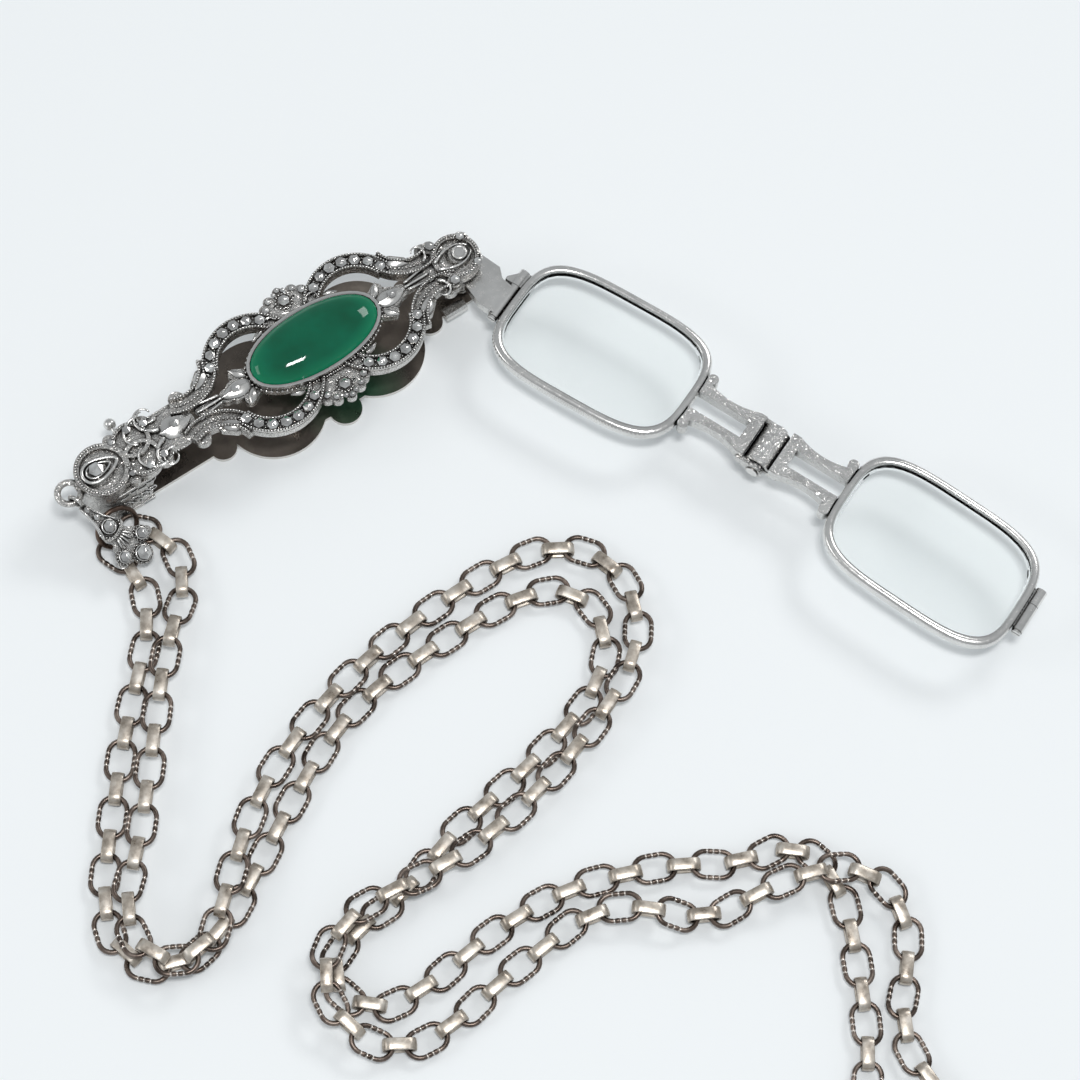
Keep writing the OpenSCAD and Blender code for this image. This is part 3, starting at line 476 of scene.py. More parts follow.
def finishes():
    """Every material of the part, by name."""
    m = {}
    m["cover"] = silver_finish("old silver cover", (0.82, 0.8, 0.77), 0.4, engraved=0.6)
    m["silver"] = silver_finish("old silver", (0.84, 0.83, 0.81), 0.1)
    m["grain"] = silver_finish("old silver grains", (0.9, 0.885, 0.86), 0.1)
    m["chased"] = silver_finish("chased silver", (0.86, 0.85, 0.83), 0.12, engraved=0.28)

    f = Finish("browned back plate").set(Metallic=0.9)
    brown = ((0.3, (0.07, 0.06, 0.052)), (0.55, (0.15, 0.128, 0.11)), (0.8, (0.33, 0.29, 0.25)))
    colour = f.ramp(f.noise(70, 5), *brown)
    # the gem throws green light on the plate below it
    green = f.level(f.reach((-28.0, -7.0, 0.9)), 0.0035, 0.011, 0.7, 0.0)
    colour = f.blend(green, colour, (0.006, 0.11, 0.05))
    colour = f.blend(f.level(f.facing_up(), 0.3, 0.7), (0.7, 0.68, 0.65), colour)
    f.plug("Base Color", colour).rough(f.noise(260, 5), 0.22, 0.5)
    f.bump(f.noise(500, 3), 0.04, 0.4)
    m["back"] = f.material

    f = Finish("green chalcedony").set(Roughness=0.05, IOR=1.54, Subsurface_Weight=0.2, Subsurface_Scale=1.0)
    f.shader.inputs["Specular IOR Level"].default_value = 0.32
    f.shader.inputs["Subsurface Radius"].default_value = (0.0006, 0.0022, 0.0014)
    cloud = f.noise(90, 3, 0.5)
    # painted light: the dome is painted a lighter green low down by its edge, standing in for light that
    # shines through the thin edge of the stone
    low = f.level(f.height(), 12.3 * MM, 14.6 * MM)
    body = f.ramp(cloud, (0.35, (0.0, 0.075, 0.036)), (0.7, (0.0, 0.135, 0.07)))
    f.plug("Base Color", f.blend(low, (0.004, 0.26, 0.12), body))
    m["gem"] = f.material

    f = Finish("cut dark stones").set(Metallic=1.0)
    f.plug("Base Color", f.ramp(f.cells(520), (0.1, (0.95, 0.95, 0.93)), (0.7, (0.55, 0.54, 0.53))))
    f.rough(f.noise(300), 0.06, 0.16)
    m["stones"] = f.material

    f = Finish("lens glass").set(Roughness=0.0, IOR=1.2, Transmission_Weight=1.0)
    f.plug("Base Color", f.ramp(f.noise(40, 2), (0.3, (0.98, 0.995, 0.99)), (0.7, (0.99, 1.0, 0.995))))
    f.bump(f.noise(900, 2), 0.0005, 0.2)
    f.let_light_through()
    m["glass"] = f.material

    f = Finish("spring wire").set(Metallic=1.0, Roughness=0.32)
    f.plug("Base Color", f.ramp(f.noise(500), (0.3, (0.3, 0.28, 0.26)), (0.7, (0.52, 0.5, 0.47))))
    f.bump(f.noise(900, 2), 0.02, 0.4)
    m["wire"] = f.material

    f = Finish("blackened chain wire").set(Metallic=0.95)
    cloud = f.noise(330, 4)
    black = ((0.3, (0.06, 0.045, 0.037)), (0.55, (0.16, 0.125, 0.105)), (0.8, (0.36, 0.3, 0.26)))
    bright = f.level(f.attribute("nick"), 0.35, 0.95)
    f.plug("Base Color", f.blend(bright, f.ramp(cloud, *black), (0.66, 0.61, 0.56)))
    f.rough(cloud, 0.22, 0.42).bump(f.noise(1200, 3), 0.03, 0.5)
    m["links"] = f.material

    f = Finish("plain blackened wire").set(Metallic=0.95)
    cloud = f.noise(330, 4)
    f.plug("Base Color", f.ramp(cloud, (0.3, (0.05, 0.034, 0.027)), (0.7, (0.17, 0.12, 0.095))))
    f.rough(cloud, 0.22, 0.4).bump(f.noise(1200, 3), 0.03, 0.5)
    m["ring"] = f.material

    f = Finish("dull band links").set(Metallic=0.9)
    cloud = f.noise(420, 5, 0.65)
    body = f.ramp(cloud, (0.3, (0.3, 0.25, 0.2)), (0.5, (0.56, 0.5, 0.43)), (0.75, (0.78, 0.74, 0.68)))
    deep = f.level(f.recess(1.2), 0.3, 0.8)
    f.plug("Base Color", f.blend(deep, (0.035, 0.028, 0.024), body))
    f.rough(cloud, 0.26, 0.46).bump(f.noise(800, 3), 0.04, 0.5)
    m["bands"] = f.material
    return m


FINISH = {}


def show(piece, finish):
    """Gives a piece its only material."""
    piece.data.materials.clear()
    piece.data.materials.append(FINISH[finish])


# Sizes and colours a user may change


def measure(name, description, default, unit="LENGTH"):
    """A length in metres, an angle or a plain number that a user may change."""
    return bpy.props.FloatProperty(name=name, description=description, default=default, unit=unit)


class StageSizes(bpy.types.PropertyGroup):
    view_tilt: measure("View Tilt", "Lean of the camera from straight above", math.radians(22), "ROTATION")
    view_far: measure("View Distance", "Distance from the camera to the table", 0.52174)
    case_turn: measure("Case Turn", "Turn of the case in the picture", math.radians(35.105), "ROTATION")
    floor_colour: bpy.props.FloatVectorProperty(
        name="Floor Colour", description="Colour of the table", default=(0.86, 0.885, 0.895),
        subtype="COLOR")


class JewelSizes(bpy.types.PropertyGroup):
    gem_length: measure("Gem Length", "Length of the green stone", 0.0252)
    gem_width: measure("Gem Width", "Width of the green stone", 0.0119)
    gem_dome: measure("Gem Dome", "Rise of the green stone above its edge", 0.0032)
    stone_width: measure("Stone Width", "Width of a stone in the curved bands", 0.00195)
    grain_radius: measure("Grain Radius", "Radius of the grains along the edges", 0.00024)


class RimSizes(bpy.types.PropertyGroup):
    half_length: measure("Half Length", "Half the length of a lens opening", 0.017)
    half_height: measure("Half Height", "Half the height of a lens opening", 0.0108)
    squareness: measure("Squareness", "How square the lens outline is", 3.7, "NONE")
    rim_width: measure("Rim Width", "Width of the rim", 0.0015)
    milling: bpy.props.IntProperty(
        name="Milling Cuts", description="Cuts round the outer edge of a rim", default=170)


class ChainSizes(bpy.types.PropertyGroup):
    pitch: measure("Pitch", "Distance from one band link to the next", 0.0099)
    link_length: measure("Link Length", "Length of a long link", 0.0079)
    link_width: measure("Link Width", "Width of a long link", 0.0054)
    link_wire: measure("Link Wire", "Thickness of a long link's wire", 0.00088)


# Pieces


class LORGNETTE_OT_stage(bpy.types.Operator):
    """Sets the camera, the pale table and the soft lamps"""

    bl_idname = "lorgnette.stage"
    bl_label = "Stage"

    def execute(self, context):
        sizes = context.scene.lorgnette_stage
        scene = context.scene
        scene.view_settings.view_transform = "Standard"
        turn = sizes.case_turn
        up = Vector((math.sin(turn), math.cos(turn), 0))
        across = Vector((math.cos(turn), -math.sin(turn), 0))
        tilt = sizes.view_tilt
        lean = (-0.10 * across - 0.995 * up) * math.sin(tilt) + Vector((0, 0, math.cos(tilt)))
        lean.normalize()
        # the picture's middle, from the gem's middle in the picture's directions
        to_right, to_top = 39.768, -31.824
        middle = Vector((-GEM_TO_PIVOT, 0, 0)) * MM + (to_right * across + to_top * up) * MM
        place = middle + lean * sizes.view_far
        camera = bpy.data.objects.new("camera", bpy.data.cameras.new("camera"))
        camera.data.lens = 100
        camera.data.sensor_width = 36
        camera.data.clip_start = 0.01
        context.collection.objects.link(camera)
        right = (-lean).cross(up).normalized()
        top = right.cross(-lean).normalized()
        grid = Matrix((right, top, lean)).transposed().to_4x4()
        camera.matrix_world = Matrix.Translation(place) @ grid
        scene.camera = camera

        edge, top = 3000, -0.02
        corners = [(-edge, -edge, top), (edge, -edge, top), (edge, edge, top), (-edge, edge, top)]
        floor = mesh_piece("table", corners, [(0, 1, 2, 3)])
        f = Finish("pale table").set(Roughness=0.75)
        f.shader.inputs["Base Color"].default_value = (*sizes.floor_colour, 1)
        f.bump(f.noise(60, 2), 0.02, 0.1)
        floor.data.materials.append(f.material)

        world = bpy.data.worlds.new("room") if scene.world is None else scene.world
        scene.world = world
        world.use_nodes = True
        back = next(n for n in world.node_tree.nodes if n.type == "BACKGROUND")
        back.inputs["Color"].default_value = (0.93, 0.97, 1.0, 1)
        back.inputs["Strength"].default_value = 0.45

        look = Vector(LOOK_AT)
        for name, (aside, ahead, height), (width, depth), power in LAMPS:
            light = bpy.data.lights.new(name, "AREA")
            light.shape = "RECTANGLE"
            light.size = width
            light.size_y = depth
            light.energy = power
            holder = bpy.data.objects.new(name, light)
            holder.location = look + across * aside + up * ahead + Vector((0, 0, height))
            holder.rotation_euler = (look - holder.location).to_track_quat("-Z", "Y").to_euler()
            context.collection.objects.link(holder)
        return {"FINISHED"}


class LORGNETTE_OT_finishes(bpy.types.Operator):
    """Gives every solid of the frame its material"""

    bl_idname = "lorgnette.finishes"
    bl_label = "Finishes"

    def execute(self, context):
        FINISH.update(finishes())
        by_finish = {
            "cover": ("front_cover", "bail"),
            "silver": ("gem_setting", "pivot_pin", "stop_block", "catch_button", "catch_guide",
                       "pivot_bracket", "closing_lug", "closing_screw_1", "closing_screw_2",
                       "closing_tubes_2", "hinge_pin"),
            "chased": ("bridge_arm_1", "bridge_arm_2", "spring_cover", "lens_rim_1", "lens_rim_2"),
            "back": ("back_plate",),
            "gem": ("cabochon",),
            "stones": ("cover_stones", "bail_stones"),
            "wire": ("pivot_spring", "hinge_spring", "catch_spring"),
            "glass": ("lens_1", "lens_2"),
            "ring": ("chain_ring",),
        }
        dress = {node: finish for finish, nodes in by_finish.items() for node in nodes}
        for node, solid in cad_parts.items():
            finish = dress.get(node, "bands" if "band" in node else "links")
            show(solid, finish)
        return {"FINISHED"}


def smooth_route(points):
    """A smooth curve through the route's points."""
    pts = [Vector(p) for p in points]
    last = len(pts) - 1
    out = []
    for i in range(last):
        a, b, c, d = pts[max(i - 1, 0)], pts[i], pts[i + 1], pts[min(i + 2, last)]
        for k in range(16):
            t = k / 16
            out.append(0.5 * (2 * b + (c - a) * t + (2 * a - 5 * b + 4 * c - d) * t * t
                              + (3 * b - a - 3 * c + d) * t ** 3))
    return out + [pts[last]]


def strand(points, pitch):
    """Places along a route, each one pitch from the last."""
    route = smooth_route(points)
    at = [route[0]]
    i = 0
    while True:
        here = at[-1]
        j = i + 1
        while j < len(route) and (route[j] - here).length < pitch:
            j += 1
        if j >= len(route):
            return at
        a, e = route[j - 1], route[j] - route[j - 1]
        f = a - here
        h = e.dot(f)
        t = (-h + math.sqrt(h * h - e.dot(e) * (f.dot(f) - pitch * pitch))) / e.dot(e)
        at.append(a + e * t)
        i = j - 1


def lie(run):
    """Turn that lays a link along a direction."""
    return (0.0, -math.atan2(run.z, math.hypot(run.x, run.y)), math.atan2(run.y, run.x))


def long_link(sizes):
    """A long link of wire with bright cut nicks along both sides, as a pattern."""
    length, width, wire = (v / MM for v in (sizes.link_length, sizes.link_width, sizes.link_wire))
    s, r = (length - width) / 2, (width - wire) / 2
    bend_steps, side_steps, round_sides = 12, 26, 10
    path = []
    for half in (1, -1):
        for i in range(bend_steps):
            a = math.radians(-90 + 180 * i / bend_steps)
            path.append((half * (s + r * math.cos(a)), half * r * math.sin(a), 0))
        for i in range(side_steps):
            path.append((half * (s - 2 * s * i / side_steps), half * r, 0))
    # five nicks lie along each side and a little way round the bends
    nick_half, nick_depth, side_part = 0.32, 0.2, 0.72
    reach = s + 0.85
    places = [reach * (k - 2) / 2 for k in range(5)]
    nick = []
    for x, y, _ in path:
        near = min(abs(x - p) for p in places) / nick_half
        nick.append(max(0.0, 1.0 - near) if abs(y) > side_part * r else 0.0)
    radii = [wire / 2 * (1 - nick_depth * c) for c in nick]
    verts, faces = tube_rings(path, radii, round_sides, closed=True)
    piece = mesh_piece("link pattern", verts, faces)
    mark = piece.data.attributes.new("nick", "FLOAT", "POINT")
    mark.data.foreach_set("value", [nick[i // round_sides] for i in range(len(verts))])
    return piece


def band_link():
    """A short flat link bent from strip, as a pattern."""
    half_long, half_tall, half_wide, wall = 2.9, 1.4, 1.0, 0.45
    # the strip's edges are softened, and its outside swells a little
    soft, swell = 0.12, 0.06

    def loop(depth):
        h = half_tall - depth
        s = half_long - half_tall
        pts = []
        for end, start in ((1, -90), (-1, 90)):
            for i in range(11):
                a = math.radians(start + 18 * i)
                pts.append((end * s + h * math.cos(a), h * math.sin(a)))
        return pts

    rows = []
    edge = [(swell, half_wide - soft), (soft, half_wide), (wall - soft, half_wide), (wall, half_wide - soft)]
    outline = [(d, -w) for d, w in edge] + edge[::-1] + [(0.0, 0.0)]
    for depth, across in outline:
        rows.append([(x, across, z) for x, z in loop(depth)])
    verts = [p for row in rows for p in row]
    piece = mesh_piece("band pattern", verts, round_faces(len(rows), len(rows[0]), closed=True))
    shape = bmesh.new()
    shape.from_mesh(piece.data)
    bmesh.ops.recalc_face_normals(shape, faces=shape.faces)
    shape.to_mesh(piece.data)
    shape.free()
    return piece


class LORGNETTE_OT_chain(bpy.types.Operator):
    """Lays the neck chain: nicked long links joined by short band links"""

    bl_idname = "lorgnette.chain"
    bl_label = "Neck Chain"

    def execute(self, context):
        sizes = context.scene.lorgnette_chain
        pitch = sizes.pitch / MM
        loop = strand(LEFT, pitch) + strand(RIGHT, pitch)[::-1]
        lift = Vector((0, 0, 1.4))
        runs = [(b - a).normalized() for a, b in zip(loop, loop[1:])]
        middles = [(a + b) / 2 + lift for a, b in zip(loop, loop[1:])]
        whole = (1.0, 1.0, 1.0)
        pattern = long_link(sizes)
        places = [(p, lie(r), whole) for p, r in zip(middles, runs)]
        links = set_on_points("chain_links", pattern, places, FINISH["links"])
        drop(pattern)
        step = (sizes.link_length - sizes.link_width) / 2 / MM
        places = []
        for i in range(1, len(middles)):
            a = middles[i - 1] + step * runs[i - 1]
            b = middles[i] - step * runs[i]
            places.append(((a + b) / 2, lie(b - a), whole))
        pattern = band_link()
        bands = set_on_points("chain_bands", pattern, places, FINISH["bands"])
        drop(pattern)
        for piece, slot in ((links, "dark_wire"), (bands, "dull_band")):
            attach(piece, "case")
        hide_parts(*[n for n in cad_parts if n.startswith("chain_long")])
        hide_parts(*[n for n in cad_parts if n.startswith("chain_band")])
        return {"FINISHED"}


class LORGNETTE_OT_gem(bpy.types.Operator):
    """Makes the polished green dome"""

    bl_idname = "lorgnette.gem"
    bl_label = "Green Stone"

    def execute(self, context):
        sizes = context.scene.lorgnette_jewels
        a, b = sizes.gem_length / MM / 2, sizes.gem_width / MM / 2
        girdle, dome = COVER_Z + 2.75, sizes.gem_dome / MM
        seat = FACE_Z + 0.56
        sides, steps = 96, 20
        # share of the outline and height of each ring, up to just short of the top
        share, fullness, last = 0.995, 0.92, 88.5
        levels = [(0.985, seat), (share, girdle - 0.2)]
        for k in range(1, steps + 1):
            t = math.radians(last * k / steps)
            levels.append((share * math.cos(t) ** fullness, girdle + dome * math.sin(t)))
        verts = []
        for s, z in levels:
            for i in range(sides):
                t = 2 * math.pi * i / sides
                r = oval_radius(t, a, b)
                verts.append((s * r * math.cos(t) - GEM_TO_PIVOT, s * r * math.sin(t), z))
        faces = round_faces(len(levels), sides)
        faces.append(tuple(reversed(range(sides))))
        faces.append(tuple(range((len(levels) - 1) * sides, len(levels) * sides)))
        gem = mesh_piece("green_dome", verts, faces)
        show(gem, "gem")
        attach(gem, "case")
        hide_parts("cabochon")
        return {"FINISHED"}


def on_band(k, radius, z=0.0):
    """A point on the curved band, k stones along it."""
    a = math.radians(BAND_START - BAND_STEP * k)
    return (BAND_MIDDLE[0] + radius * math.cos(a), BAND_MIDDLE[1] + radius * math.sin(a), z)


class LORGNETTE_OT_stones(bpy.types.Operator):
    """Sets the small cut stones of the cover and of the bail"""

    bl_idname = "lorgnette.stones"
    bl_label = "Cut Stones"

    def execute(self, context):
        sizes = context.scene.lorgnette_jewels
        wide = sizes.stone_width / MM
        z = FACE_Z + 0.1
        places = []

        def put(u, v, width, up=0.0, turn=0.0):
            grow = (width, width, width * 0.9)
            places.append(((u - GEM_TO_PIVOT, v, z + up), (0, 0, turn), grow))

        for quarter in quarters([on_band(k, BAND_STONE_RADIUS) for k in range(BAND_STONES)]):
            for k, (u, v, _) in enumerate(quarter):
                put(u, v, wide * (1.02 if k in (2, 3, 4) else 0.94), 0.4, 0.4 * k)
        for s in (1, -1):
            put(0, s * 9.6, 2.0, 0.25)
            put(0, s * 12.0, 1.0, 0.2)
            for m in (1, -1):
                put(m * 3.75, s * 9.75, 1.25, 0.2)
                put(m * 2.5, s * 10.9, 1.0, 0.1)
                put(m * 1.0, s * 11.5, 0.9, 0.1)
            put(s * 16.2, 0, 1.5, 0.6)
            put(27, s * 4, 1.7, 0.75)
            put(-39.2, s * 3.4, 1.2, 0.3)
            put(-35.9, s * 3.9, 1.5, 0.45)
            put(-32.9, s * 3.4, 1.4, 0.4)
        put(32.6, 2.7, 1.5, 0.6)
        put(32.5, -3.2, 1.5, 0.6)
        put(-28.5, 0.3, 1.6, 0.75)
        put(CUP_U - 0.9, 0.3, 2.6, 0.85)
        pattern = cut_stone()
        case = set_on_points("case_stones", pattern, places, FINISH["stones"])
        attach(case, "case")
        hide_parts("cover_stones")
        hung = []
        tilt = tuple(bail_turn())
        for across, down, width in ((0, 6.9, 2.1), (0, 14.4, 2.5), (2.6, 12.2, 1.8), (-2.6, 12.2, 1.8),
                                    (0, 2.2, 1.0), (0, 4.2, 1.1)):
            hung.append((bail_point(0.92, across, down), tilt, (width, width, width * 0.9)))
        bail = set_on_points("bail_cut_stones", pattern, hung, FINISH["stones"])
        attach(bail, "bail")
        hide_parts("bail_stones")
        drop(pattern)
        return {"FINISHED"}


def bail_frame():
    """Front, across and down directions of the bail, and the middle of its hook."""
    a, dip = BAIL_TURN, BAIL_DIP
    down = Vector((math.cos(dip) * math.cos(a), -math.cos(dip) * math.sin(a), -math.sin(dip)))
    front = Vector((math.sin(dip) * math.cos(a), -math.sin(dip) * math.sin(a), math.cos(dip)))
    across = Vector((math.sin(a), math.cos(a), 0))
    hook_x = HOOK_U - GEM_TO_PIVOT + HOOK_RADIUS * math.cos(HOOK_TURN)
    hook = Vector((hook_x, -HOOK_RADIUS * math.sin(HOOK_TURN), HOOK_Z))
    return front, across, down, hook


def bail_point(height, side, drop_length):
    """A point above the bail's face, to one side of its middle and down from its hook."""
    front, across, down, hook = bail_frame()
    return tuple(hook + height * front + (side - BAIL_SIDE) * across + drop_length * down)


def bail_turn():
    """Turn that lays a pattern's top along the bail's front."""
    front, across, down, _ = bail_frame()
    return Matrix((across, -down, front)).transposed().to_euler()


class LORGNETTE_OT_grains(bpy.types.Operator):
    """Rows of fine grains along the raised edges of the case and the bail"""

    bl_idname = "lorgnette.grains"
    bl_label = "Grain Work"

    def execute(self, context):
        r = context.scene.lorgnette_jewels.grain_radius / MM
        top = EDGE_Z + 0.04
        rows = []
        for middle, radius, start, stop in ((BAND_MIDDLE, 9.15, 22, 156), (BAND_MIDDLE, 6.75, 24, 154),
                                            (ARM_MIDDLE, 8.05, 192, 298), (ARM_MIDDLE, 5.35, 194, 296)):
            rows += quarters(arc(middle, radius, start, stop, top, GRAIN_GAP))
        rows += quarters(arc(ARM_MIDDLE, 6.7, 194, 296, FACE_Z + 0.15, 0.7))
        # grains that hold the stones of the bands
        for k in range(BAND_STONES + 1):
            for radius in (7.45, 8.45):
                rows += quarters([on_band(k - 0.5, radius, FACE_Z + 0.35)])
        # round the closed end, the pivot, the scrolls and the flowers
        rows.append(arc((CUP_U, 0), 4.45, 62, 298, top))
        rows.append(arc((29.8, 0), 4.0, -150, 150, top))
        for s in (1, -1):
            rows.append(arc((-36.2, s * 1.9), 3.05, 0, s * 180, top))
            rows.append([(-32 + 0.55 * i, s * 4.0, FACE_Z + 0.1) for i in range(8)])
            rows.append(arc((0, s * 9.6), 1.45, 0, 360, FACE_Z + 0.12, 0.6))
        flat = (0, 0, 0)
        size = (r / GRAIN_RADIUS,) * 3
        places = [(point, flat, size) for row in rows for point in on_case(row)]
        # the setting's beaded foot
        foot = []
        for i in range(FOOT_GRAINS):
            t = 2 * math.pi * i / FOOT_GRAINS
            q = oval_radius(t, *FOOT_HALVES)
            foot.append((q * math.cos(t), q * math.sin(t), FACE_Z + 0.25))
        places += [(point, flat, (1.2,) * 3) for point in on_case(foot)]
        pattern = grain()
        rows = set_on_points("edge_grains", pattern, places, FINISH["grain"])
        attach(rows, "case")
        # the bail's sides, its bow and the rims of its three lower stones
        spots = []
        for side in (1, -1):
            for i in range(16):
                t = i / 15
                wide = 0.55 + 0.25 * t + 1.35 * max(0.0, (t - 0.45) / 0.55)
                spots.append((0.5, side * wide, 1.6 + 6.4 * t))
        for i in range(15):
            a = math.radians(-70 + 10 * i)
            spots.append((0.78, 3.6 * math.sin(a) * 0.66, 5.4 + 3.55 * math.cos(a)))
        for y, t, q in ((0, 14.4, 1.7), (2.6, 12.2, 1.25), (-2.6, 12.2, 1.25)):
            for i in range(14):
                a = 2 * math.pi * i / 14
                spots.append((0.6, y + q * math.cos(a), t + q * math.sin(a)))
        hung = [(bail_point(*spot), flat, (0.8,) * 3) for spot in spots]
        edge = set_on_points("bail_grains", pattern, hung, FINISH["grain"])
        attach(edge, "bail")
        drop(pattern)
        return {"FINISHED"}


def scroll(start, turn, length, curl, wide, z):
    """A tapering scroll that curls in at its end."""
    path, radii = [], []
    x, y = start
    heading = math.radians(turn)
    n = 26
    for i in range(n + 1):
        t = i / n
        path.append((x, y, z))
        swell = 0.55 + 0.45 * math.sin(math.pi * min(1.0, t * 3 + 0.15)) if t < 0.28 else 1.0
        radii.append(wide * (1.0 - 0.62 * t) * swell)
        heading += math.radians(curl) / n * (0.35 + 1.6 * t)
        x += length / n * math.cos(heading)
        y += length / n * math.sin(heading)
    return tube_rings(path, radii, 8)


def leaf(at, turn, length, wide, z, rise=0.5):
    """A pointed leaf with a middle rib."""
    verts, faces = [], []
    n = 10
    c, s = math.cos(math.radians(turn)), math.sin(math.radians(turn))
    profile = ((-1, -0.15), (-0.6, 0.75), (-0.12, 0.62), (0, 1.0), (0.12, 0.62), (0.6, 0.75), (1, -0.15))
    for i in range(n + 1):
        t = i / n
        w = wide / 2 * math.sin(math.pi * t ** 0.8) ** 0.8 if 0 < t < 1 else 0.02
        for q, h in profile:
            x, y = length * t, w * q
            verts.append((at[0] + x * c - y * s, at[1] + x * s + y * c,
                          z + rise * h * (0.35 + 0.65 * math.sin(math.pi * t))))
    m = len(profile)
    for i in range(n):
        for j in range(m - 1):
            a = i * m + j
            faces.append((a, a + m, a + m + 1, a + 1))
    return verts, faces


class LORGNETTE_OT_scrolls(bpy.types.Operator):
    """Scrolls, leaves and ropes in relief on the case"""

    bl_idname = "lorgnette.scrolls"
    bl_label = "Scroll Work"

    def execute(self, context):
        z = FACE_Z + 0.12
        parts = []
        for m in (1, -1):
            # scrolls round the closed end's stones
            parts.append(scroll((-31.2, m * 0.9), m * 165, 9.5, m * -215, 0.42, z + 0.45))
            parts.append(scroll((-33.0, m * 5.1), m * 178, 8.0, m * 150, 0.4, z + 0.5))
            parts.append(scroll((-30.5, m * 3.2), m * 200, 5.5, m * -190, 0.34, z + 0.3))
            # leaves on the shoulders of the arms
            for s in (1, -1):
                for u, v, du, dv, length, wide, rise in ((18.6, 6.4, 3.4, -2.6, 4.4, 2.2, 0.55),
                                                         (13.2, 1.2, 2.2, 2.6, 3.4, 1.5, 0.5),
                                                         (6.2, 7.0, 2.6, -0.9, 2.8, 1.1, 0.5)):
                    turn = math.degrees(math.atan2(m * dv, s * du))
                    parts.append(leaf((s * u, m * v), turn, length, wide, z, rise))
                turn = 90 - s * 90 + s * m * 62
                parts.append(scroll((s * 3.0, m * 7.3), turn, 4.2, -s * m * 190, 0.3, z + 0.3))
            # teardrop round the pivot's stud, and the scrolls beside it
            parts.append(scroll((25.8, m * 0.7), m * 30, 7.5, m * -70, 0.34, z + 0.75))
            parts.append(scroll((24.5, m * 2.2), m * 35, 5.5, m * 190, 0.34, z + 0.5))
            parts.append(scroll((33.6, m * 1.2), m * 80, 4.2, m * 150, 0.3, z + 0.7))
            # ropes along the middle of the waist
            for s in (1, -1):
                parts.append(rope(on_line((s * 19.3, m * 0.7), (s * 24.2, m * 1.5), 8, z + 0.25), 0.26))
        for s in (1, -1):
            parts.append(leaf((s * 12.9, 0), 90 - s * 90, 6.2, 3.2, z + 0.1, 0.6))
            parts.append(rope(on_line((s * 19.0, 0), (s * 24.0, 0), 6, z + 0.1), 0.3))
        parts.append(leaf((-31.6, 0.2), 0, 6.4, 4.4, z + 0.1, 0.75))
        # teardrop at the closed end, and a smaller one inside it
        outer = []
        for i in range(40):
            t = 2 * math.pi * i / 40
            side = 0.2 + 2.55 * math.sin(t) * (0.72 - 0.28 * math.cos(t))
            outer.append((CUP_U - 0.2 + 3.3 * math.cos(t), side, z + 0.75))
        inner = [(u * 0.68 + CUP_U * 0.32 - 0.35, v * 0.62 + 0.1, up + 0.1) for u, v, up in outer]
        parts.append(rope(outer, 0.32, 8, closed=True))
        parts.append(rope(inner, 0.2, closed=True))
        # stud ring over the pivot
        parts.append(rope(arc((GEM_TO_PIVOT, 0), 1.15, 0, 345, EDGE_Z + 0.4, 0.35), 0.26, 8, closed=True))
        verts, faces = gather(parts)
        relief = mesh_piece("scroll_relief", on_case(verts), faces)
        show(relief, "grain")
        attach(relief, "case")

        # engraved work on the outside of the closed end
        wall = []
        for k in range(4):
            u = CUP_U + 0.4 + 1.75 * k
            for height, curl, turn in ((2.6, 250, 60), (5.2, -240, 20), (7.6, 230, -30)):
                verts, faces = scroll((u, height + 0.5 * (k % 2)), turn, 3.4, curl, 0.2, 0.0)
                upright = [(p[0], CUP_WALL_V + p[2], p[1]) for p in verts]
                wall.append((upright, [tuple(reversed(face)) for face in faces]))
        for height in (1.25, 9.2):
            wall.append(rope([(CUP_U + 0.2 * i, CUP_WALL_V + 0.05, height) for i in range(34)], 0.24))
        verts, faces = gather(wall)
        chased = mesh_piece("end_relief", on_case(verts), faces)
        show(chased, "silver")
        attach(chased, "case")

        # ribs, petals and edges of the bail
        hung = []
        for side in (-26, -13, 0, 13, 26):
            a = math.radians(side)
            line = [(0.62, 0.3 * side / 13 + math.sin(a) * d, 8.9 + math.cos(a) * d)
                    for d in (0.2, 1.0, 1.8, 2.6)]
            hung.append(tube_rings([bail_point(*p) for p in line], [0.12, 0.22, 0.22, 0.1], 6))
        for y, t, q in ((0, 14.4, 1.32), (2.6, 12.2, 0.98), (-2.6, 12.2, 0.98), (0, 6.9, 1.2)):
            ring = [bail_point(0.85, y + q * math.cos(a), t + q * math.sin(a))
                    for a in (2 * math.pi * i / 24 for i in range(24))]
            hung.append(rope(ring, 0.2, closed=True))
        for side in (1, -1):
            edge = [(0.5, side * w, t) for w, t in
                    ((0.45, 1.4), (0.65, 3.0), (1.0, 5.0), (1.95, 7.2), (2.15, 8.2))]
            hung.append(tube_rings([bail_point(*p) for p in edge], [0.2, 0.2, 0.22, 0.24, 0.18], 6))
        verts, faces = gather(hung)
        work = mesh_piece("bail_relief", verts, faces)
        show(work, "grain")
        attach(work, "bail")
        return {"FINISHED"}


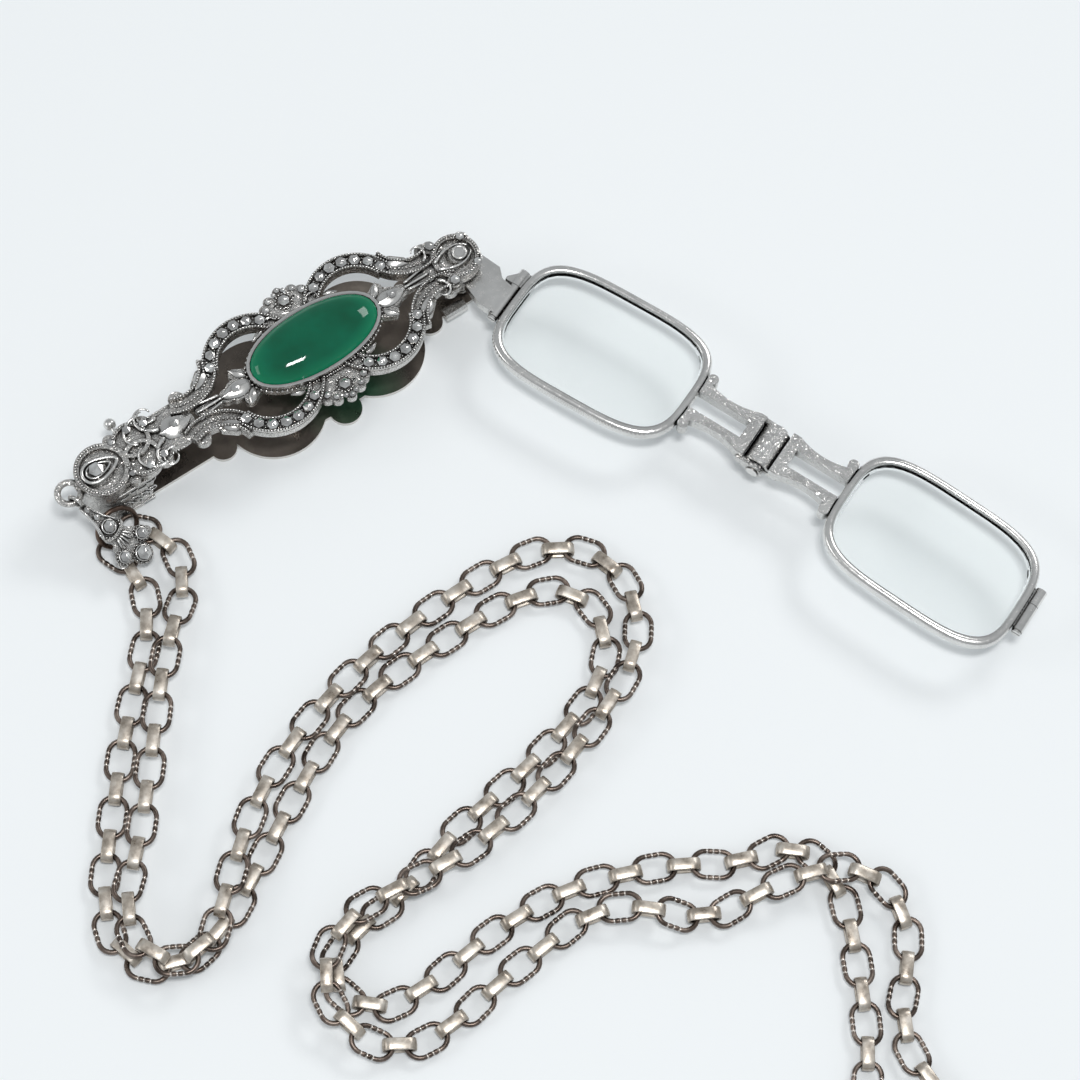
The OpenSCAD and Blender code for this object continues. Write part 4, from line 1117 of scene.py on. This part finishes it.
class LORGNETTE_OT_rims(bpy.types.Operator):
    """Makes the two rims with their milled outer edges"""

    bl_idname = "lorgnette.rims"
    bl_label = "Milled Rims"

    def execute(self, context):
        sizes = context.scene.lorgnette_rims
        a, b, w = sizes.half_length / MM, sizes.half_height / MM, sizes.rim_width / MM
        thick, cut_depth = 2.4, 0.07
        # distance out from the opening and height of the section's corners, front half first
        front = [(0.12, 0.5), (w * 0.5, 0.5), (w - 0.35, 0.47), (w - 0.12, 0.36), (w, 0.26)]
        back = [(out, -share) for out, share in front[::-1]]
        groove = [(0.0, -0.3), (0.45, 0.0), (0.0, 0.3)]
        profile = [(out, share * thick) for out, share in front + back + groove]
        milled = (4, 5)
        sharp = (3, 4, 5, 9, 10, 11, 12)
        steps = sizes.milling * 4
        ca, sa = math.cos(-OPEN_ANGLE), math.sin(-OPEN_ANGLE)
        for k, (body, mirror, middle) in enumerate((("first_lens", 1, LENS_X),
                                                    ("second_lens", -1, 2 * FOLD_X - LENS_X))):
            verts = []
            for i in range(steps):
                t = 2 * math.pi * i / steps
                for j, (out, z) in enumerate(profile):
                    g = out - cut_depth if j in milled and i % 4 < 2 else out
                    r = oval_radius(t, a + g, b + g, sizes.squareness)
                    x, y = r * math.cos(t), r * math.sin(t) + mirror * LENS_SLANT * r * math.cos(t)
                    x += middle
                    verts.append((x * ca - y * sa, x * sa + y * ca, LENS_Z + z))
            faces = round_faces(steps, len(profile), closed=True)
            rim = mesh_piece(f"milled_rim_{k + 1}", verts, faces)
            for face in rim.data.polygons:
                face.use_smooth = face.index % len(profile) not in sharp
            show(rim, "silver")
            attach(rim, body)
            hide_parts(f"lens_rim_{k + 1}")
        return {"FINISHED"}


class LORGNETTE_PT_panel(bpy.types.Panel):
    """Lists the steps that dress the lorgnette"""

    bl_idname = "LORGNETTE_PT_panel"
    bl_label = "Lorgnette"
    bl_space_type = "VIEW_3D"
    bl_region_type = "UI"
    bl_category = "Lorgnette"

    def draw(self, context):
        layout = self.layout
        for group in ("lorgnette_stage", "lorgnette_jewels", "lorgnette_rims", "lorgnette_chain"):
            sizes = getattr(context.scene, group)
            for key in sizes.bl_rna.properties.keys():
                if key not in ("rna_type", "name"):
                    layout.prop(sizes, key)
        for step in STEPS:
            layout.operator(step.bl_idname)


GROUPS = {
    "lorgnette_stage": StageSizes,
    "lorgnette_jewels": JewelSizes,
    "lorgnette_rims": RimSizes,
    "lorgnette_chain": ChainSizes,
}
STEPS = (
    LORGNETTE_OT_stage,
    LORGNETTE_OT_finishes,
    LORGNETTE_OT_chain,
    LORGNETTE_OT_gem,
    LORGNETTE_OT_stones,
    LORGNETTE_OT_grains,
    LORGNETTE_OT_scrolls,
    LORGNETTE_OT_rims,
)


def register():
    for group in GROUPS.values():
        bpy.utils.register_class(group)
    for name, group in GROUPS.items():
        setattr(bpy.types.Scene, name, bpy.props.PointerProperty(type=group))
    for kind in (*STEPS, LORGNETTE_PT_panel):
        bpy.utils.register_class(kind)


def unregister():
    for kind in reversed((*STEPS, LORGNETTE_PT_panel)):
        bpy.utils.unregister_class(kind)
    for name, group in reversed(list(GROUPS.items())):
        delattr(bpy.types.Scene, name)
        bpy.utils.unregister_class(group)


def main():
    register()
    bpy.ops.lorgnette.stage()
    bpy.ops.lorgnette.finishes()
    bpy.ops.lorgnette.chain()
    bpy.ops.lorgnette.gem()
    bpy.ops.lorgnette.stones()
    bpy.ops.lorgnette.grains()
    bpy.ops.lorgnette.scrolls()
    bpy.ops.lorgnette.rims()


if __name__ == "__main__":
    main()
